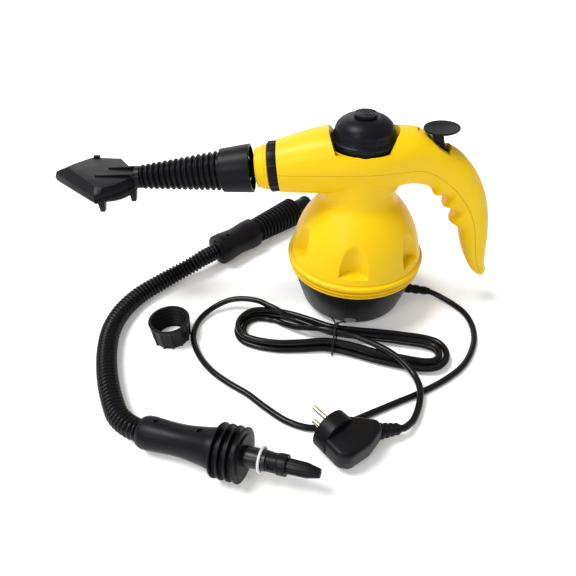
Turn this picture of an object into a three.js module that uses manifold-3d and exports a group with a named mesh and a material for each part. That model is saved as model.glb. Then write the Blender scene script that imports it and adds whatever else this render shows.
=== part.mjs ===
// A handheld steam cleaner with its extension nozzle and squeegee head, its power lead,
// a hose set with a jet gun, and a loose ring nut.
// Millimetres, +Z up. The origin is on the floor under the middle of the round base.
// The nozzle points along -X and the handle hangs down on the +X side.
import * as THREE from "three";
import { mergeVertices } from "three/addons/utils/BufferGeometryUtils.js";
import Module from "manifold-3d";

const wasm = await Module();
wasm.setup();

const full = 2 * Math.PI;
const half = Math.PI;
const quarter = Math.PI / 2;
const degree = Math.PI / 180;

// Clearances shared by every piece
const gap = 0.3;
const overrun = 2;
const weld = 0.0005;
const wall = 2.5;
const ribShare = 0.6;

// Round base and its feet
const base = {
  underside: 3,
  bottomRadius: 54.7,
  topRadius: 70,
  top: 53.6,
  edge: 2,
  floor: 3,
  padRadius: 10,
  lipInset: 3.4,
  lipHeight: 5,
};
const foot = { radius: 6, height: 3.2, recess: 1.2, inset: 12.7 };
const lens = { width: 13, height: 7, depth: 3, centre: 12, turn: -4 * degree };
const post = { radius: 5, place: 30, screwRadius: 1.6, headRadius: 3, headHeight: 2.2 };

// Bell: radius and height of its outer skin, from its lowest bead up to the neck
const bell = {
  beadRadii: [72.4, 73.2, 74.2],
  beadBottoms: [54, 58.4, 63],
  beadTops: [57.2, 61.8, 69.2],
  groove: 1.6,
  skin: [
    [70.8, 71.5],
    [67.4, 85],
    [62.2, 101],
    [54.4, 115.6],
    [46.2, 126.6],
    [39, 135],
    [36.2, 144],
    [35.2, 171],
  ],
  sides: 24,
  hollowSides: 16,
};
const scoop = {
  count: 6,
  turn: -5 * degree,
  radius: 16,
  place: 73.5,
  shelf: 78.5,
  sides: 11,
};

// Barrel and handle: each section's top and bottom points in the XZ plane, as shares of the length from the
// axis to the back of the handle and of the height, then half of its width as a share of the widest half
const body = {
  length: 150,
  height: 200,
  halfWidth: 36,
  right: 200,
  top: 260,
  bottom: -20,
  halfSpan: 90,
};
const sectionShares = [
  [-0.564, 0.9605, -0.532, 0.7095, 0.7],
  [-0.38, 1.0055, -0.38, 0.712, 0.8139],
  [-0.2333, 1.031, -0.2467, 0.715, 0.9028],
  [-0.08, 1.038, -0.0933, 0.72, 0.9861],
  [0.08, 1.038, 0.08, 0.73, 0.9861],
  [0.2133, 1.034, 0.2067, 0.75, 0.8611],
  [0.3347, 1.031, 0.3067, 0.764, 0.7222],
  [0.44, 0.9975, 0.3867, 0.76, 0.625],
  [0.55, 0.9525, 0.4533, 0.743, 0.5556],
  [0.6267, 0.92, 0.5047, 0.704, 0.5167],
  [0.72, 0.8525, 0.5853, 0.6775, 0.4944],
  [0.7767, 0.7965, 0.5827, 0.64, 0.4889],
  [0.83, 0.7275, 0.664, 0.5955, 0.4833],
  [0.8667, 0.665, 0.652, 0.547, 0.4778],
  [0.8967, 0.5925, 0.7167, 0.488, 0.4722],
  [0.9233, 0.505, 0.74, 0.4325, 0.4667],
  [0.9407, 0.4135, 0.77, 0.3705, 0.4556],
  [0.9653, 0.275, 0.8467, 0.26, 0.4278],
  [0.982, 0.2425, 0.8867, 0.223, 0.4],
  [0.9773, 0.2175, 0.9167, 0.207, 0.3194],
  [0.9653, 0.203, 0.944, 0.1995, 0.1944],
];
const bodyRing = { sides: 14, hollowSides: 8, fullness: 2.3 };
const partingShares = [
  [-0.7333, 0.8380],
  [-0.5467, 0.8450],
  [-0.3333, 0.8575],
  [-0.1333, 0.8690],
  [0.1200, 0.8780],
  [0.2933, 0.8760],
  [0.3880, 0.8675],
  [0.4887, 0.8300],
  [0.6073, 0.7590],
  [0.7093, 0.6715],
  [0.7900, 0.5585],
  [0.8353, 0.4305],
  [0.8767, 0.3200],
  [0.9200, 0.2500],
  [0.9600, 0.1800],
  [1.0000, 0.1000],
];

// Well in the top of the barrel, the filler neck and the cap
const well = { radius: 33.2, wall: 2, floor: 178, lipRadius: 24, sides: 20 };
const neck = { outer: 19, inner: 14.5, bottom: 121.6, rise: 8 };
const collar = { outer: 31.6, inner: 19.4, height: 7.2 };
const cap = {
  sides: 16,
  skirtRadius: 31.4,
  skirtRise: 2.4,
  skirtHeight: 5.2,
  flangeRadius: 32.4,
  flangeHeight: 3,
  domeHeight: 25,
  domeShares: [
    [0.97, 0.07],
    [0.91, 0.42],
    [0.84, 0.64],
    [0.68, 0.87],
    [0.484, 0.99],
  ],
  discRadius: 11,
  discHeight: 3.6,
  wall: 2.6,
  hub: 7.6,
  springDrop: 15.6,
  rings: 2,
  ringDepth: 0.6,
};
const neckTop = well.floor + neck.rise;
const collarBottom = well.floor + gap;
const collarTop = collarBottom + collar.height;
const skirtBottom = neckTop + cap.skirtRise;
const flangeBottom = skirtBottom + cap.skirtHeight;
const flangeTop = flangeBottom + cap.flangeHeight;
const discSeat = flangeTop + cap.domeHeight;
const discTop = discSeat + cap.discHeight;
const springTop = discSeat - cap.springDrop;
const plug = { radius: 14, depth: 20, flangeRadius: 18, flangeRise: 8, stemRadius: 7, stemHeight: 18 };
const plugFlangeTop = neckTop + plug.flangeRise;
const capSpring = { radius: 9, wire: 1.3, curls: 3 };
const seal = { outer: 18.6, height: 1.8 };

// Boiler and what heats it
const boiler = { radius: 42, wall: 2.4, bottom: 28, split: 76, shoulder: 108, top: 121.3, gasket: 2, flange: 4 };
const element = { radius: 26, wire: 3.4 };
const thermostat = { radius: 9, height: 8 };
const fuse = { radius: 2.6, length: 20, place: 17 };
const terminal = { room: 2, length: 20, width: 14, height: 13, hole: 3 };
const clamp = { inset: 13.3, length: 5, halfWidth: 7, height: 5, bore: 2.6, seatDrop: 0.5 };

// Trigger and valve
const trigger = {
  pivot: [86, 171],
  padRadius: 17,
  padPlace: 72,
  padHeight: 208,
  padTilt: 3.5 * degree,
  padThickness: 2.8,
  padEdge: 1,
  padSides: 18,
  stemHalfWidth: 5.5,
  slotHalfWidth: 7,
  slotLength: 24,
  slotBack: 2.5,
  dishRadius: 21.5,
  dishPlace: 71,
  dishDepth: 6.8,
  hub: 5.5,
};
// Outlines of the stem, of the notch that it moves in and of the block under the notch: places from the pivot,
// backwards and upwards, as shares of the pad's height above it
const stemShares = [
  [-0.692, 0.935],
  [-0.357, 0.935],
  [-0.243, 0.551],
  [-0.2, 0.368],
  [-0.068, 0.203],
  [0.135, 0],
  [0, -0.135],
  [-0.135, 0],
  [-0.189, 0.162],
];
const notchShares = [
  [-1.014, 0.957],
  [-0.851, 0.892],
  [-0.641, 0.757],
  [-0.514, 0.643],
  [-0.324, 0.503],
  [-0.141, 0.395],
  [-0.07, 0.568],
  [-0.07, 2.4],
  [-1.014, 2.4],
];
const notchBlockShares = [
  [-1.041, 0.946],
  [-1.041, 0.746],
  [-0.757, 0.735],
  [-0.641, 0.676],
  [-0.514, 0.562],
  [-0.324, 0.419],
  [-0.141, 0.314],
  [-0.027, 0.297],
  [-0.027, 0.568],
];
const pin = { radius: 2, length: 27, bossRadius: 5, bossFrom: 6.2 };
const valve = { front: 35.6, rear: 60, rise: 12, radius: 8.4, bore: 4.4, boreDepth: 16, port: 2 };
const plunger = { radius: 2.4, headRadius: 4, headLength: 3, length: 17.7, stroke: 1.5 };
const valveHeight = trigger.pivot[1] + valve.rise;
const valveSpring = { radius: 3.2, wire: 0.6, curls: 3 };
const pipe = {
  radius: 3,
  sides: 6,
  inletPlace: 24,
  portInset: 10.4,
  portSpacing: 8,
  portDrop: 0.5,
  inletSteps: 9,
  outletSteps: 14,
  sweep: 22.8,
  sag: 9.1,
  endInset: 6.2,
};
// The pipes' routes, as shares of their reach, of the outlet's sweep round the filler neck and of the height
const inletShares = [
  [0, 0],
  [0, 0.358],
  [0.136, 0.659],
  [0.636, 0.847],
  [0.982, 0.923],
  [1, 1],
];
const outletShares = [
  [0, 0, 0],
  [0, 0.018, 0.45],
  [0.0615, 0.44, 0.89],
  [0.2, 0.833, 1],
  [0.415, 1, 1],
  [0.631, 0.833, 0.89],
  [0.8, 0.395, 0.67],
  [0.908, 0.044, 0.593],
  [1, 0, 0.703],
];

// Nose of the barrel: distances run outwards along its axis from the pivot
const nose = { x: -82.2, z: 167, tilt: 5.5 * degree };
const noseTip = {
  flangeRadius: 21.6,
  flangeFrom: -4,
  seatRadius: 21.4,
  stepFrom: 9.6,
  threadRadius: 22.8,
  threadShares: [1, 0.974, 0.93, 0.886],
  threadPitch: 3.2,
  threadDepth: 0.8,
  bore: 15,
  end: 22.6,
};
const lockRing = { outer: 25, inner: 21.9, from: 0.5, to: 9.2, notches: 16, notch: 0.9 };
const spout = { radius: 9.2, bore: 4, from: 12, end: 66, flangeRadius: 14.6, flangeTo: 17.5 };
const spoutRing = { outer: 12.6, from: 30, to: 33.5 };

// Extension nozzle
const nozzle = {
  mouth: 27.3,
  mouthRadius: 24.2,
  collarEnd: 57.7,
  collarRadius: 21.6,
  mouthBore: 21.8,
  mouthDepth: 24,
  sleeve: 9.6,
  sleeveEnd: 71,
  bore: 7,
  ribCount: 14,
  ribFrom: 59.5,
  ribPitch: 5.9,
  ribDepth: 2.2,
  ribFirst: 19.8,
  ribLast: 12.4,
  endRadius: 11.2,
  end: 147.3,
  sides: 12,
};

// Squeegee head: its plans give places out from the end of the nozzle as shares of its length, and places
// across it as shares of its half-width. It lies level, and only its spigot follows the nozzle's tilt.
const head = {
  from: 0.9,
  length: 90,
  halfWidth: 42,
  lipShares: [
    [0, -0.26],
    [0.07, -0.48],
    [0.155, -0.69],
    [0.28, -0.89],
    [0.345, -0.99],
    [0.99, 0.155],
    [1, 0.26],
    [0.92, 0.5],
    [0.645, 0.905],
    [0.28, 0.845],
    [0.1, 0.335],
    [0, 0.26],
  ],
  topShares: [
    [0, -0.215],
    [0.067, -0.415],
    [0.145, -0.62],
    [0.267, -0.8],
    [0.367, -0.69],
    [0.8, 0.19],
    [0.828, 0.275],
    [0.79, 0.43],
    [0.628, 0.81],
    [0.267, 0.76],
    [0.09, 0.26],
    [0, 0.215],
  ],
  seam: -4,
  top: 5.6,
  lip: -8.5,
  bandShare: 0.3,
  bandHeight: 0.8,
  bowlPlace: 30,
  bowlRadius: 26,
  bowlRim: -12.5,
  bowlBottom: -17,
  bowlEdge: 6,
  spigotRadius: 6.7,
  spigotLength: 18,
  ribHalfWidth: 1.3,
  ribHeight: 8.5,
  ribShares: [
    [0.344, 0.2],
    [0.444, -0.2],
  ],
  clipLength: 6.5,
  clipWidth: 4,
  clipTop: 7.5,
  clipShares: [0.533, 0.77],
  hookLength: 7.5,
  hookWidth: 9,
  hookBottom: -23.5,
  hookShares: [
    [0.328, -0.655],
    [0.039, -0.143],
  ],
};

// Power lead
const cord = { radius: 3.25, sides: 8, rest: 3.32, steps: 37, tailSteps: 16 };
const relief = {
  inset: 1.9,
  length: 36,
  y: 3,
  height: 11.6,
  drop: 5,
  thick: 6.2,
  thin: 4.9,
  ribs: 4,
  groove: 0.9,
  depth: 3,
};
const leadRoute = [
  [92.4, 1.5, 6.4],
  [99, -1.5, 5.2],
  [108, -8, 3.9],
  [118, -18, 3.32],
  [127, -32, 3.32],
  [131, -50, 3.32],
  [129, -72, 3.32],
  [121, -93, 3.32],
  [108, -113, 3.32],
  [88, -131, 3.32],
  [60, -149, 3.32],
  [36, -161.5, 3.32],
  [12, -174, 3.32],
  [-9, -184.6, 3.32],
  [-28, -191, 3.32],
  [-48, -193, 3.32],
  [-68, -186.5, 3.32],
  [-90, -171, 3.32],
  [-108, -156, 3.32],
  [-128, -143, 3.32],
  [-148, -127, 3.32],
  [-165, -105, 3.32],
  [-175, -79, 3.32],
  [-173, -54, 4],
  [-160, -37, 7.4],
  [-141, -29, 13],
  [-122, -30.5, 16.8],
  [-105.4, -35.6, 17.8],
  [-96.4, -41.3, 17.8],
  [-88.2, -46, 17.3],
  [-80.8, -50, 15.5],
  [-73.4, -53.5, 12.4],
];
const hank = {
  centre: [-21, -82],
  turn: -11.4 * degree,
  loops: 3,
  stepsPerLoop: 24,
  sides: 6,
  pitch: 7.5,
  layerStep: 7.1,
  rest: 3.32,
  leftReach: 84,
  rightReach: 95,
  leftHalfWidth: 17,
  rightHalfWidth: 10,
  waistHalfWidth: 3.9,
  waistLeft: 60,
  waistRight: 70,
  startPlace: -40,
  lift: 1.6,
  climbRate: 3.3,
  runShare: 0.62,
  endShare: 0.2,
};
const tie = {
  thickness: 1,
  width: 3.6,
  inside: [
    [-18.8, 1.2],
    [18.8, 1.2],
    [18.8, 12],
    [7, 23.2],
    [-7, 23.2],
    [-18.8, 12],
  ],
  tailRadius: 1,
  tailSides: 5,
  tailSteps: 8,
  tail: [
    [0, 23.7, 0],
    [2, 27, 1],
    [5, 29.5, 3],
    [9, 29.5, 6],
    [13, 27, 9],
  ],
};
const tailRoute = [
  [-77.2, -57.4, 4],
  [-63.7, -66.2, 8],
  [-47.9, -74, 14.8],
  [-33.5, -79.4, 19.2],
  [-19, -83.6, 19.6],
  [-1, -89, 19],
  [18, -99, 18],
  [34, -110, 17.4],
  [46, -121.5, 15],
  [54.5, -134, 12],
  [58, -148, 10.6],
  [57, -160, 8.4],
  [53, -173, 7.4],
  [46.5, -186, 8.8],
  [39, -194.6, 11.4],
];
const plugShape = {
  centre: [-31, -203, 19.3],
  turn: 133 * degree,
  discRadius: 19,
  discDepth: 8,
  bodyHalfHeight: 13,
  outline: [
    [-6, 17],
    [-6, -16],
    [-18, -26],
    [-27, -34],
    [-36, -30],
    [-40, -10],
    [-38, 12],
    [-30, 18],
  ],
  pinRadius: 2.4,
  pinLength: 19,
  pinSpread: 9.5,
  pinSeat: 4,
};
const plugRelief = {
  from: [9, -203.4, 14.6],
  turn: 14 * degree,
  drop: -5 * degree,
  length: 25,
  thick: 8,
  thin: 5.4,
  ribs: 5,
  groove: 1.3,
};

// Hose set: the end tube, grip and coupling lie on one line
const hoseLine = { start: [-74, 157, 20.3], turn: 226.5 * degree };
const endTube = { outer: 12.4, lip: 13.4, lipLength: 4, inner: 10, length: 27, flange: 15, flangeLength: 3 };
const grip = {
  first: 20,
  last: 16.6,
  ribs: 12,
  length: 70,
  ribDepth: 3.2,
  inner: 10,
  neck: 13,
  neckEnd: 80,
  sides: 10,
};
const coupling = {
  from: 76,
  length: 59,
  radius: 19.4,
  waist: 17.8,
  inner: 14.8,
  lipRadius: 13,
  lip: 3.4,
  bore: 8,
  hole: 2.2,
  holeDepth: 3,
  holePlace: 18,
  holeSide: 4,
};
const hose = {
  radius: 10.2,
  groove: 1.5,
  bore: 6,
  pitch: 6,
  sides: 8,
  boreEvery: 5,
};
const hoseRoute = [
  [-191, 34.6, 18.6],
  [-214, 18.5, 12.6],
  [-234, -1, 10.6],
  [-250, -22, 10.3],
  [-261, -48, 10.3],
  [-264.5, -77, 10.3],
  [-260.5, -105, 10.3],
  [-253, -131, 10.3],
  [-243.5, -155, 10.3],
  [-232.7, -176.2, 10.4],
  [-221.8, -193, 11.8],
  [-206.2, -205.4, 14.4],
];

// Jet gun, along its own axis from its rear face
const gun = {
  rear: [-194, -210.5, 15.7],
  turn: -16.1 * degree,
  rise: 5.8 * degree,
  skin: [
    [13.4, 0],
    [14.8, 4],
    [15, 10],
    [14, 26],
    [14, 42],
    [16, 60],
    [17.6, 70],
    [17.6, 99],
  ],
  length: 99,
  wall: 2.4,
  rearBore: 10.7,
  rearDepth: 21,
  discRadius: 23,
  discThickness: 2.8,
  discs: 4,
  firstDisc: 74.6,
  discPitch: 7,
  inner: 11.8,
  innerSides: 16,
  boreSides: 12,
  hole: 2,
  holePlaces: [16, 58],
};
const gunSpout = { radius: 8.5, bore: 3, rootRadius: 11.4, rootLength: 6, tipRadius: 5, tipLength: 9 };
const oRing = { wire: 1.2, place: 113.5 };
const jet = {
  collarRadius: 8.2,
  from: 118.5,
  collarTo: 135.5,
  sides: 8,
  rootRadius: 6.6,
  tipRadius: 4,
  end: 163,
  bore: 1.5,
};

// Ring nut
const nut = {
  centre: [-199, -77],
  bottomRadius: 20,
  topRadius: 22,
  height: 26,
  wall: 2.4,
  threads: 5,
  threadDepth: 1.2,
};

// Finishes
const yellowPlastic = new THREE.MeshStandardMaterial({ color: 0xe8b90c, roughness: 0.35, metalness: 0 });
const blackPlastic = new THREE.MeshStandardMaterial({ color: 0x1b1b1e, roughness: 0.5, metalness: 0 });
const greyPlastic = new THREE.MeshStandardMaterial({ color: 0x8d9094, roughness: 0.45, metalness: 0 });
const whitePlastic = new THREE.MeshStandardMaterial({ color: 0xe6e6e2, roughness: 0.5, metalness: 0 });
const blackRubber = new THREE.MeshStandardMaterial({ color: 0x141416, roughness: 0.75, metalness: 0 });
const aluminium = new THREE.MeshStandardMaterial({ color: 0xb9bcc0, roughness: 0.45, metalness: 1 });
const brass = new THREE.MeshStandardMaterial({ color: 0xb99244, roughness: 0.35, metalness: 1 });
const steel = new THREE.MeshStandardMaterial({ color: 0xc2c4c7, roughness: 0.3, metalness: 1 });

// Shapes
function solidFrom(geometry) {
  const bare = new THREE.BufferGeometry();
  bare.setAttribute("position", geometry.getAttribute("position"));
  bare.setIndex(geometry.getIndex());
  const merged = mergeVertices(bare, weld);
  const vertProperties = merged.getAttribute("position").array;
  const triVerts = new Uint32Array(merged.getIndex().array);
  const made = new wasm.Manifold(new wasm.Mesh({ numProp: 3, vertProperties, triVerts }));
  if (made.volume() > 0) return made;
  const turned = triVerts.map((_, i) => triVerts[i - (i % 3) + ((3 - (i % 3)) % 3)]);
  return new wasm.Manifold(new wasm.Mesh({ numProp: 3, vertProperties, triVerts: turned }));
}

function geometryFrom(solid) {
  const made = solid.getMesh();
  const geometry = new THREE.BufferGeometry();
  geometry.setAttribute("position", new THREE.BufferAttribute(new Float32Array(made.vertProperties), 3));
  geometry.setIndex(new THREE.BufferAttribute(new Uint32Array(made.triVerts), 1));
  geometry.computeVertexNormals();
  return geometry;
}

function join(...shapes) {
  return geometryFrom(shapes.map(solidFrom).reduce((sum, next) => sum.add(next)));
}

function cut(shape, ...tools) {
  return geometryFrom(tools.map(solidFrom).reduce((left, tool) => left.subtract(tool), solidFrom(shape)));
}

function shared(first, second) {
  return geometryFrom(solidFrom(first).intersect(solidFrom(second)));
}

// A profile of [radius, height] pairs turned about Z. It starts and ends on the axis, or closes on itself.
function turned(profile, sides) {
  const points = profile.map(([radius, height]) => new THREE.Vector2(radius, height));
  if (profile[0][0] > 0) points.push(points[0].clone());
  return new THREE.LatheGeometry(points, sides).rotateX(quarter);
}

function rod(radius, bottom, top, sides = 16) {
  return turned([[0, bottom], [radius, bottom], [radius, top], [0, top]], sides);
}

function sleeve(outer, inner, bottom, top, sides = 20) {
  return turned([[inner, bottom], [outer, bottom], [outer, top], [inner, top]], sides);
}

// Lays a shape that was turned about Z along +X, or along -X.
function alongX(geometry) {
  return geometry.rotateY(quarter);
}

function againstX(geometry) {
  return geometry.rotateY(-quarter);
}

function block(xs, ys, zs) {
  const box = new THREE.BoxGeometry(xs[1] - xs[0], ys[1] - ys[0], zs[1] - zs[0]);
  return box.translate((xs[0] + xs[1]) / 2, (ys[0] + ys[1]) / 2, (zs[0] + zs[1]) / 2);
}

// An outline in the XY plane, raised along Z.
function plate(outline, bottom, top) {
  const shape = new THREE.Shape(outline.map(([x, y]) => new THREE.Vector2(x, y)));
  const geometry = new THREE.ExtrudeGeometry(shape, { depth: top - bottom, bevelEnabled: false });
  return geometry.translate(0, 0, bottom);
}

// An outline in the XZ plane, as wide along Y as two half-widths.
function sidePlate(outline, halfWidth) {
  return plate(outline, -halfWidth, halfWidth).rotateX(quarter);
}

// Rings of points, each with as many points, joined into one closed skin.
function loft(rings) {
  const count = rings[0].length;
  const points = rings.flat();
  const indices = [];
  const last = (rings.length - 1) * count;
  const middleOf = (ring) => ring.reduce((sum, p) => sum.add(p), new THREE.Vector3()).divideScalar(count);
  const start = points.push(middleOf(rings[0])) - 1;
  const end = points.push(middleOf(rings.at(-1))) - 1;
  for (let i = 0; i < count; i += 1) {
    const next = (i + 1) % count;
    for (let row = 0; row < last; row += count) {
      indices.push(row + i, row + next, row + i + count);
      indices.push(row + next, row + next + count, row + i + count);
    }
    indices.push(start, next, i);
    indices.push(end, last + i, last + next);
  }
  return skin(points, indices);
}

function skin(points, indices) {
  const geometry = new THREE.BufferGeometry();
  geometry.setAttribute("position", new THREE.Float32BufferAttribute(points.flatMap((p) => [p.x, p.y, p.z]), 3));
  geometry.setIndex(indices);
  return geometry;
}

function vectors(points) {
  return points.map(([x, y, z]) => new THREE.Vector3(x, y, z));
}

function tubeAlong(points, radius, sides, steps) {
  const ring = Array.from({ length: sides }, (_, i) => {
    const angle = (full * i) / sides;
    return new THREE.Vector2(radius * Math.cos(angle), radius * Math.sin(angle));
  });
  const extrudePath = new THREE.CatmullRomCurve3(points);
  return new THREE.ExtrudeGeometry(new THREE.Shape(ring), { steps, extrudePath, bevelEnabled: false });
}

// A coil spring about Z.
function spring({ radius, wire, curls }, bottom, top) {
  const stepsPerCurl = 7;
  const steps = curls * stepsPerCurl;
  const rise = top - bottom - 2 * wire;
  const points = Array.from({ length: steps + 1 }, (_, i) => {
    const angle = (full * i) / stepsPerCurl;
    return new THREE.Vector3(
      radius * Math.cos(angle),
      radius * Math.sin(angle),
      bottom + wire + (rise * i) / steps,
    );
  });
  return tubeAlong(points, wire, 4, steps);
}

const machine = new THREE.Group();

function addPart(parent, name, geometry, material) {
  const mesh = new THREE.Mesh(geometry, material);
  mesh.name = name;
  parent.add(mesh);
  return mesh;
}

// Base
function baseRadiusAt(height) {
  const share = (height - base.underside) / (base.top - base.underside);
  return base.bottomRadius + (base.topRadius - base.bottomRadius) * share;
}

function footPlace(index) {
  const angle = half / 4 + (index * full) / 4;
  const place = base.bottomRadius - foot.inset;
  return [place * Math.cos(angle), place * Math.sin(angle)];
}

function postPlace(index) {
  const angle = half / 2 + (index * full) / 3;
  return [post.place * Math.cos(angle), post.place * Math.sin(angle)];
}

function placedRelief(geometry) {
  const from = baseRadiusAt(relief.height) - relief.inset;
  const sag = Math.atan2(relief.drop, relief.length);
  const turn = Math.atan2(leadRoute[0][1] - relief.y, leadRoute[0][0] - from);
  return alongX(geometry).rotateY(sag).rotateZ(turn).translate(from, relief.y, relief.height);
}

function reliefBore() {
  return placedRelief(rod(relief.thick + gap, -relief.depth - overrun - wall, relief.length, 10));
}

function lensShape(extra, from, to) {
  const shape = rod(lens.width / 2 + extra, from, to, 16).scale(1, lens.height / lens.width, 1);
  return shape.rotateX(quarter).translate(0, 0, lens.centre).rotateZ(lens.turn);
}

function baseCup() {
  const floorTop = base.underside + base.floor;
  const lip = base.topRadius - base.lipInset;
  const shell = turned(
    [
      [0, 0],
      [base.padRadius, 0],
      [base.padRadius, base.underside],
      [base.bottomRadius - base.edge, base.underside],
      [base.bottomRadius, base.underside + base.edge],
      [base.topRadius, base.top],
      [lip, base.top],
      [lip, base.top + base.lipHeight],
      [lip - wall, base.top + base.lipHeight],
      [lip - wall, base.top - base.lipInset],
      [base.bottomRadius - wall - base.edge, floorTop],
      [0, floorTop],
    ],
    bell.sides,
  );
  const posts = [0, 1, 2].map((i) => {
    const [x, y] = postPlace(i);
    return rod(post.radius, base.underside + base.floor / 2, boiler.bottom - gap, 8).translate(x, y, 0);
  });
  const screwHoles = [0, 1, 2].map((i) => {
    const [x, y] = postPlace(i);
    const shank = rod(post.screwRadius + gap, -overrun, boiler.bottom + overrun, 8);
    const seat = rod(post.headRadius + gap, -overrun, base.underside + post.headHeight, 8);
    return join(shank, seat).translate(x, y, 0);
  });
  const footSeats = [0, 1, 2, 3].map((i) => {
    const [x, y] = footPlace(i);
    return rod(foot.radius + gap, base.underside - overrun, base.underside + foot.recess, 8).translate(x, y, 0);
  });
  const lensSeat = lensShape(gap, baseRadiusAt(lens.centre) - lens.depth, base.topRadius);
  return cut(join(shell, ...posts), ...screwHoles, ...footSeats, reliefBore(), lensSeat);
}

function strainRelief() {
  const back = -relief.depth - wall;
  return placedRelief(ribbedCone(relief, back, relief.length));
}

// A sleeve that narrows in ribs from its thick end to its thin end.
function ribbedCone({ thick, thin, ribs, groove }, from, to) {
  const profile = [[0, from], [thick, from]];
  const pitch = to / ribs;
  for (let i = 0; i < ribs; i += 1) {
    const radius = thick + ((thin - thick) * i) / (ribs - 1);
    const grooveStart = (i + ribShare) * pitch;
    profile.push([radius, grooveStart], [radius - groove, grooveStart], [radius - groove, (i + 1) * pitch]);
  }
  profile.push([0, to]);
  return turned(profile, 10);
}

function buildBase() {
  addPart(machine, "base_cup", baseCup(), blackPlastic);
  for (let i = 0; i < 4; i += 1) {
    const [x, y] = footPlace(i);
    const pad = addPart(machine, `rubber_foot_${i + 1}`, rod(foot.radius, 0, foot.height, 8), blackRubber);
    pad.position.set(x, y, 0);
  }
  for (let i = 0; i < 3; i += 1) {
    const [x, y] = postPlace(i);
    const top = boiler.bottom - gap - overrun;
    const shank = rod(post.screwRadius, base.underside + gap, top, 8);
    const screwHead = rod(post.headRadius, base.underside - gap, base.underside + post.headHeight - gap, 8);
    const screw = addPart(machine, `base_screw_${i + 1}`, join(shank, screwHead), steel);
    screw.position.set(x, y, 0);
  }
  const lensFace = baseRadiusAt(lens.centre);
  const lensSolid = shared(
    lensShape(0, lensFace - lens.depth + gap, base.topRadius),
    rod(lensFace + gap, 0, base.top, 72),
  );
  addPart(machine, "indicator_lens", lensSolid, greyPlastic);
  addPart(machine, "strain_relief", strainRelief(), blackRubber);
}

// Housing
function sectionRing([topX, topZ, bottomX, bottomZ, widthShare], inset, sides) {
  const high = new THREE.Vector3(topX * body.length, 0, topZ * body.height);
  const low = new THREE.Vector3(bottomX * body.length, 0, bottomZ * body.height);
  const halfWidth = widthShare * body.halfWidth;
  const middle = high.clone().add(low).divideScalar(2);
  const up = high.clone().sub(middle);
  const reach = up.length() - inset;
  up.normalize();
  return Array.from({ length: sides }, (_, i) => {
    const angle = (full * i) / sides;
    const bulge = (value) => Math.sign(value) * Math.abs(value) ** (2 / bodyRing.fullness);
    const point = middle.clone().addScaledVector(up, reach * bulge(Math.cos(angle)));
    point.y = (halfWidth - inset) * bulge(Math.sin(angle));
    return point;
  });
}

function barrelAndHandle() {
  return loft(sectionShares.map((section) => sectionRing(section, 0, bodyRing.sides)));
}

function barrelAndHandleHollow() {
  const hollowed = sectionShares.filter((_, i) => i % 2 === 0 || i < 2).slice(0, -1);
  const inner = hollowed.map((section) => sectionRing(section, wall, bodyRing.hollowSides));
  const ahead = new THREE.Vector3(-Math.cos(nose.tilt), 0, -Math.sin(nose.tilt)).multiplyScalar(overrun);
  const mouth = inner[0].map((point) => point.clone().add(ahead));
  return loft([mouth, ...inner]);
}

function bellOutline(inset) {
  const beads = bell.beadRadii.flatMap((radius, i) => {
    const bead = [[radius, bell.beadBottoms[i]], [radius, bell.beadTops[i]]];
    const grooveHeight = (bell.beadTops[i] + bell.beadBottoms[i + 1]) / 2;
    return i < bell.beadRadii.length - 1 ? [...bead, [radius - bell.groove, grooveHeight]] : bead;
  });
  const inner = bell.skin.filter((_, i) => i % 2 === 0 || i > bell.skin.length - 3);
  if (inset > 0) return inner.map(([radius, height]) => [radius - inset, height - inset / 2]);
  return [...beads, ...bell.skin];
}

function bellSolid() {
  const outline = bellOutline(0);
  return turned([[0, bell.beadBottoms[0]], ...outline, [0, bell.skin.at(-1)[1]]], bell.sides);
}

function bellHollow() {
  const outline = bellOutline(wall);
  const bottom = bell.beadBottoms[0] - overrun;
  const top = bell.skin.at(-1)[1] + overrun;
  const profile = [[0, bottom], [outline[0][0], bottom], ...outline, [outline.at(-1)[0], top], [0, top]];
  return turned(profile, bell.hollowSides);
}

// One scoop's cutter: an upright cylinder that stands on the scoop's shelf. The bell's hollow stays one wall
// behind it.
function scoopCutter(index, extra) {
  const shape = rod(scoop.radius + extra, scoop.shelf - extra, body.top, scoop.sides);
  return shape.translate(0, -scoop.place, 0).rotateZ(scoop.turn + (index * full) / scoop.count);
}

function scoopCutters(extra) {
  return Array.from({ length: scoop.count }, (_, i) => scoopCutter(i, extra));
}

// The two housing shells meet along the parting line, each drawn back from it by half a gap.
function partingSide(side) {
  const shift = (side * gap) / 2;
  const parting = partingShares.map(([x, z]) => [x * body.length, z * body.height]);
  const line = parting.map(([x, z], i) => {
    const [ax, az] = parting[Math.max(i - 1, 0)];
    const [bx, bz] = parting[Math.min(i + 1, parting.length - 1)];
    const length = Math.hypot(bx - ax, bz - az);
    return [x - ((bz - az) / length) * shift, z + ((bx - ax) / length) * shift];
  });
  const corners =
    side > 0
      ? [[body.right, line.at(-1)[1]], [body.right, body.top], [line[0][0], body.top]]
      : [[line.at(-1)[0], body.bottom], [line[0][0], body.bottom]];
  return sidePlate([...line, ...corners], body.halfSpan);
}

function pinBosses(outside) {
  const [x, z] = trigger.pivot;
  const across = (radius, from, to) => rod(radius, from, to, 10).rotateX(quarter).translate(x, 0, z);
  const bar = across(pin.bossRadius, -body.halfSpan, body.halfSpan);
  const middle = across(pin.bossRadius + overrun, -pin.bossFrom, pin.bossFrom);
  return cut(shared(bar, outside), middle);
}

function pinBore() {
  const [x, z] = trigger.pivot;
  const reach = pin.length / 2 + gap;
  return rod(pin.radius + gap, -reach, reach, 10).rotateX(quarter).translate(x, 0, z);
}

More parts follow.
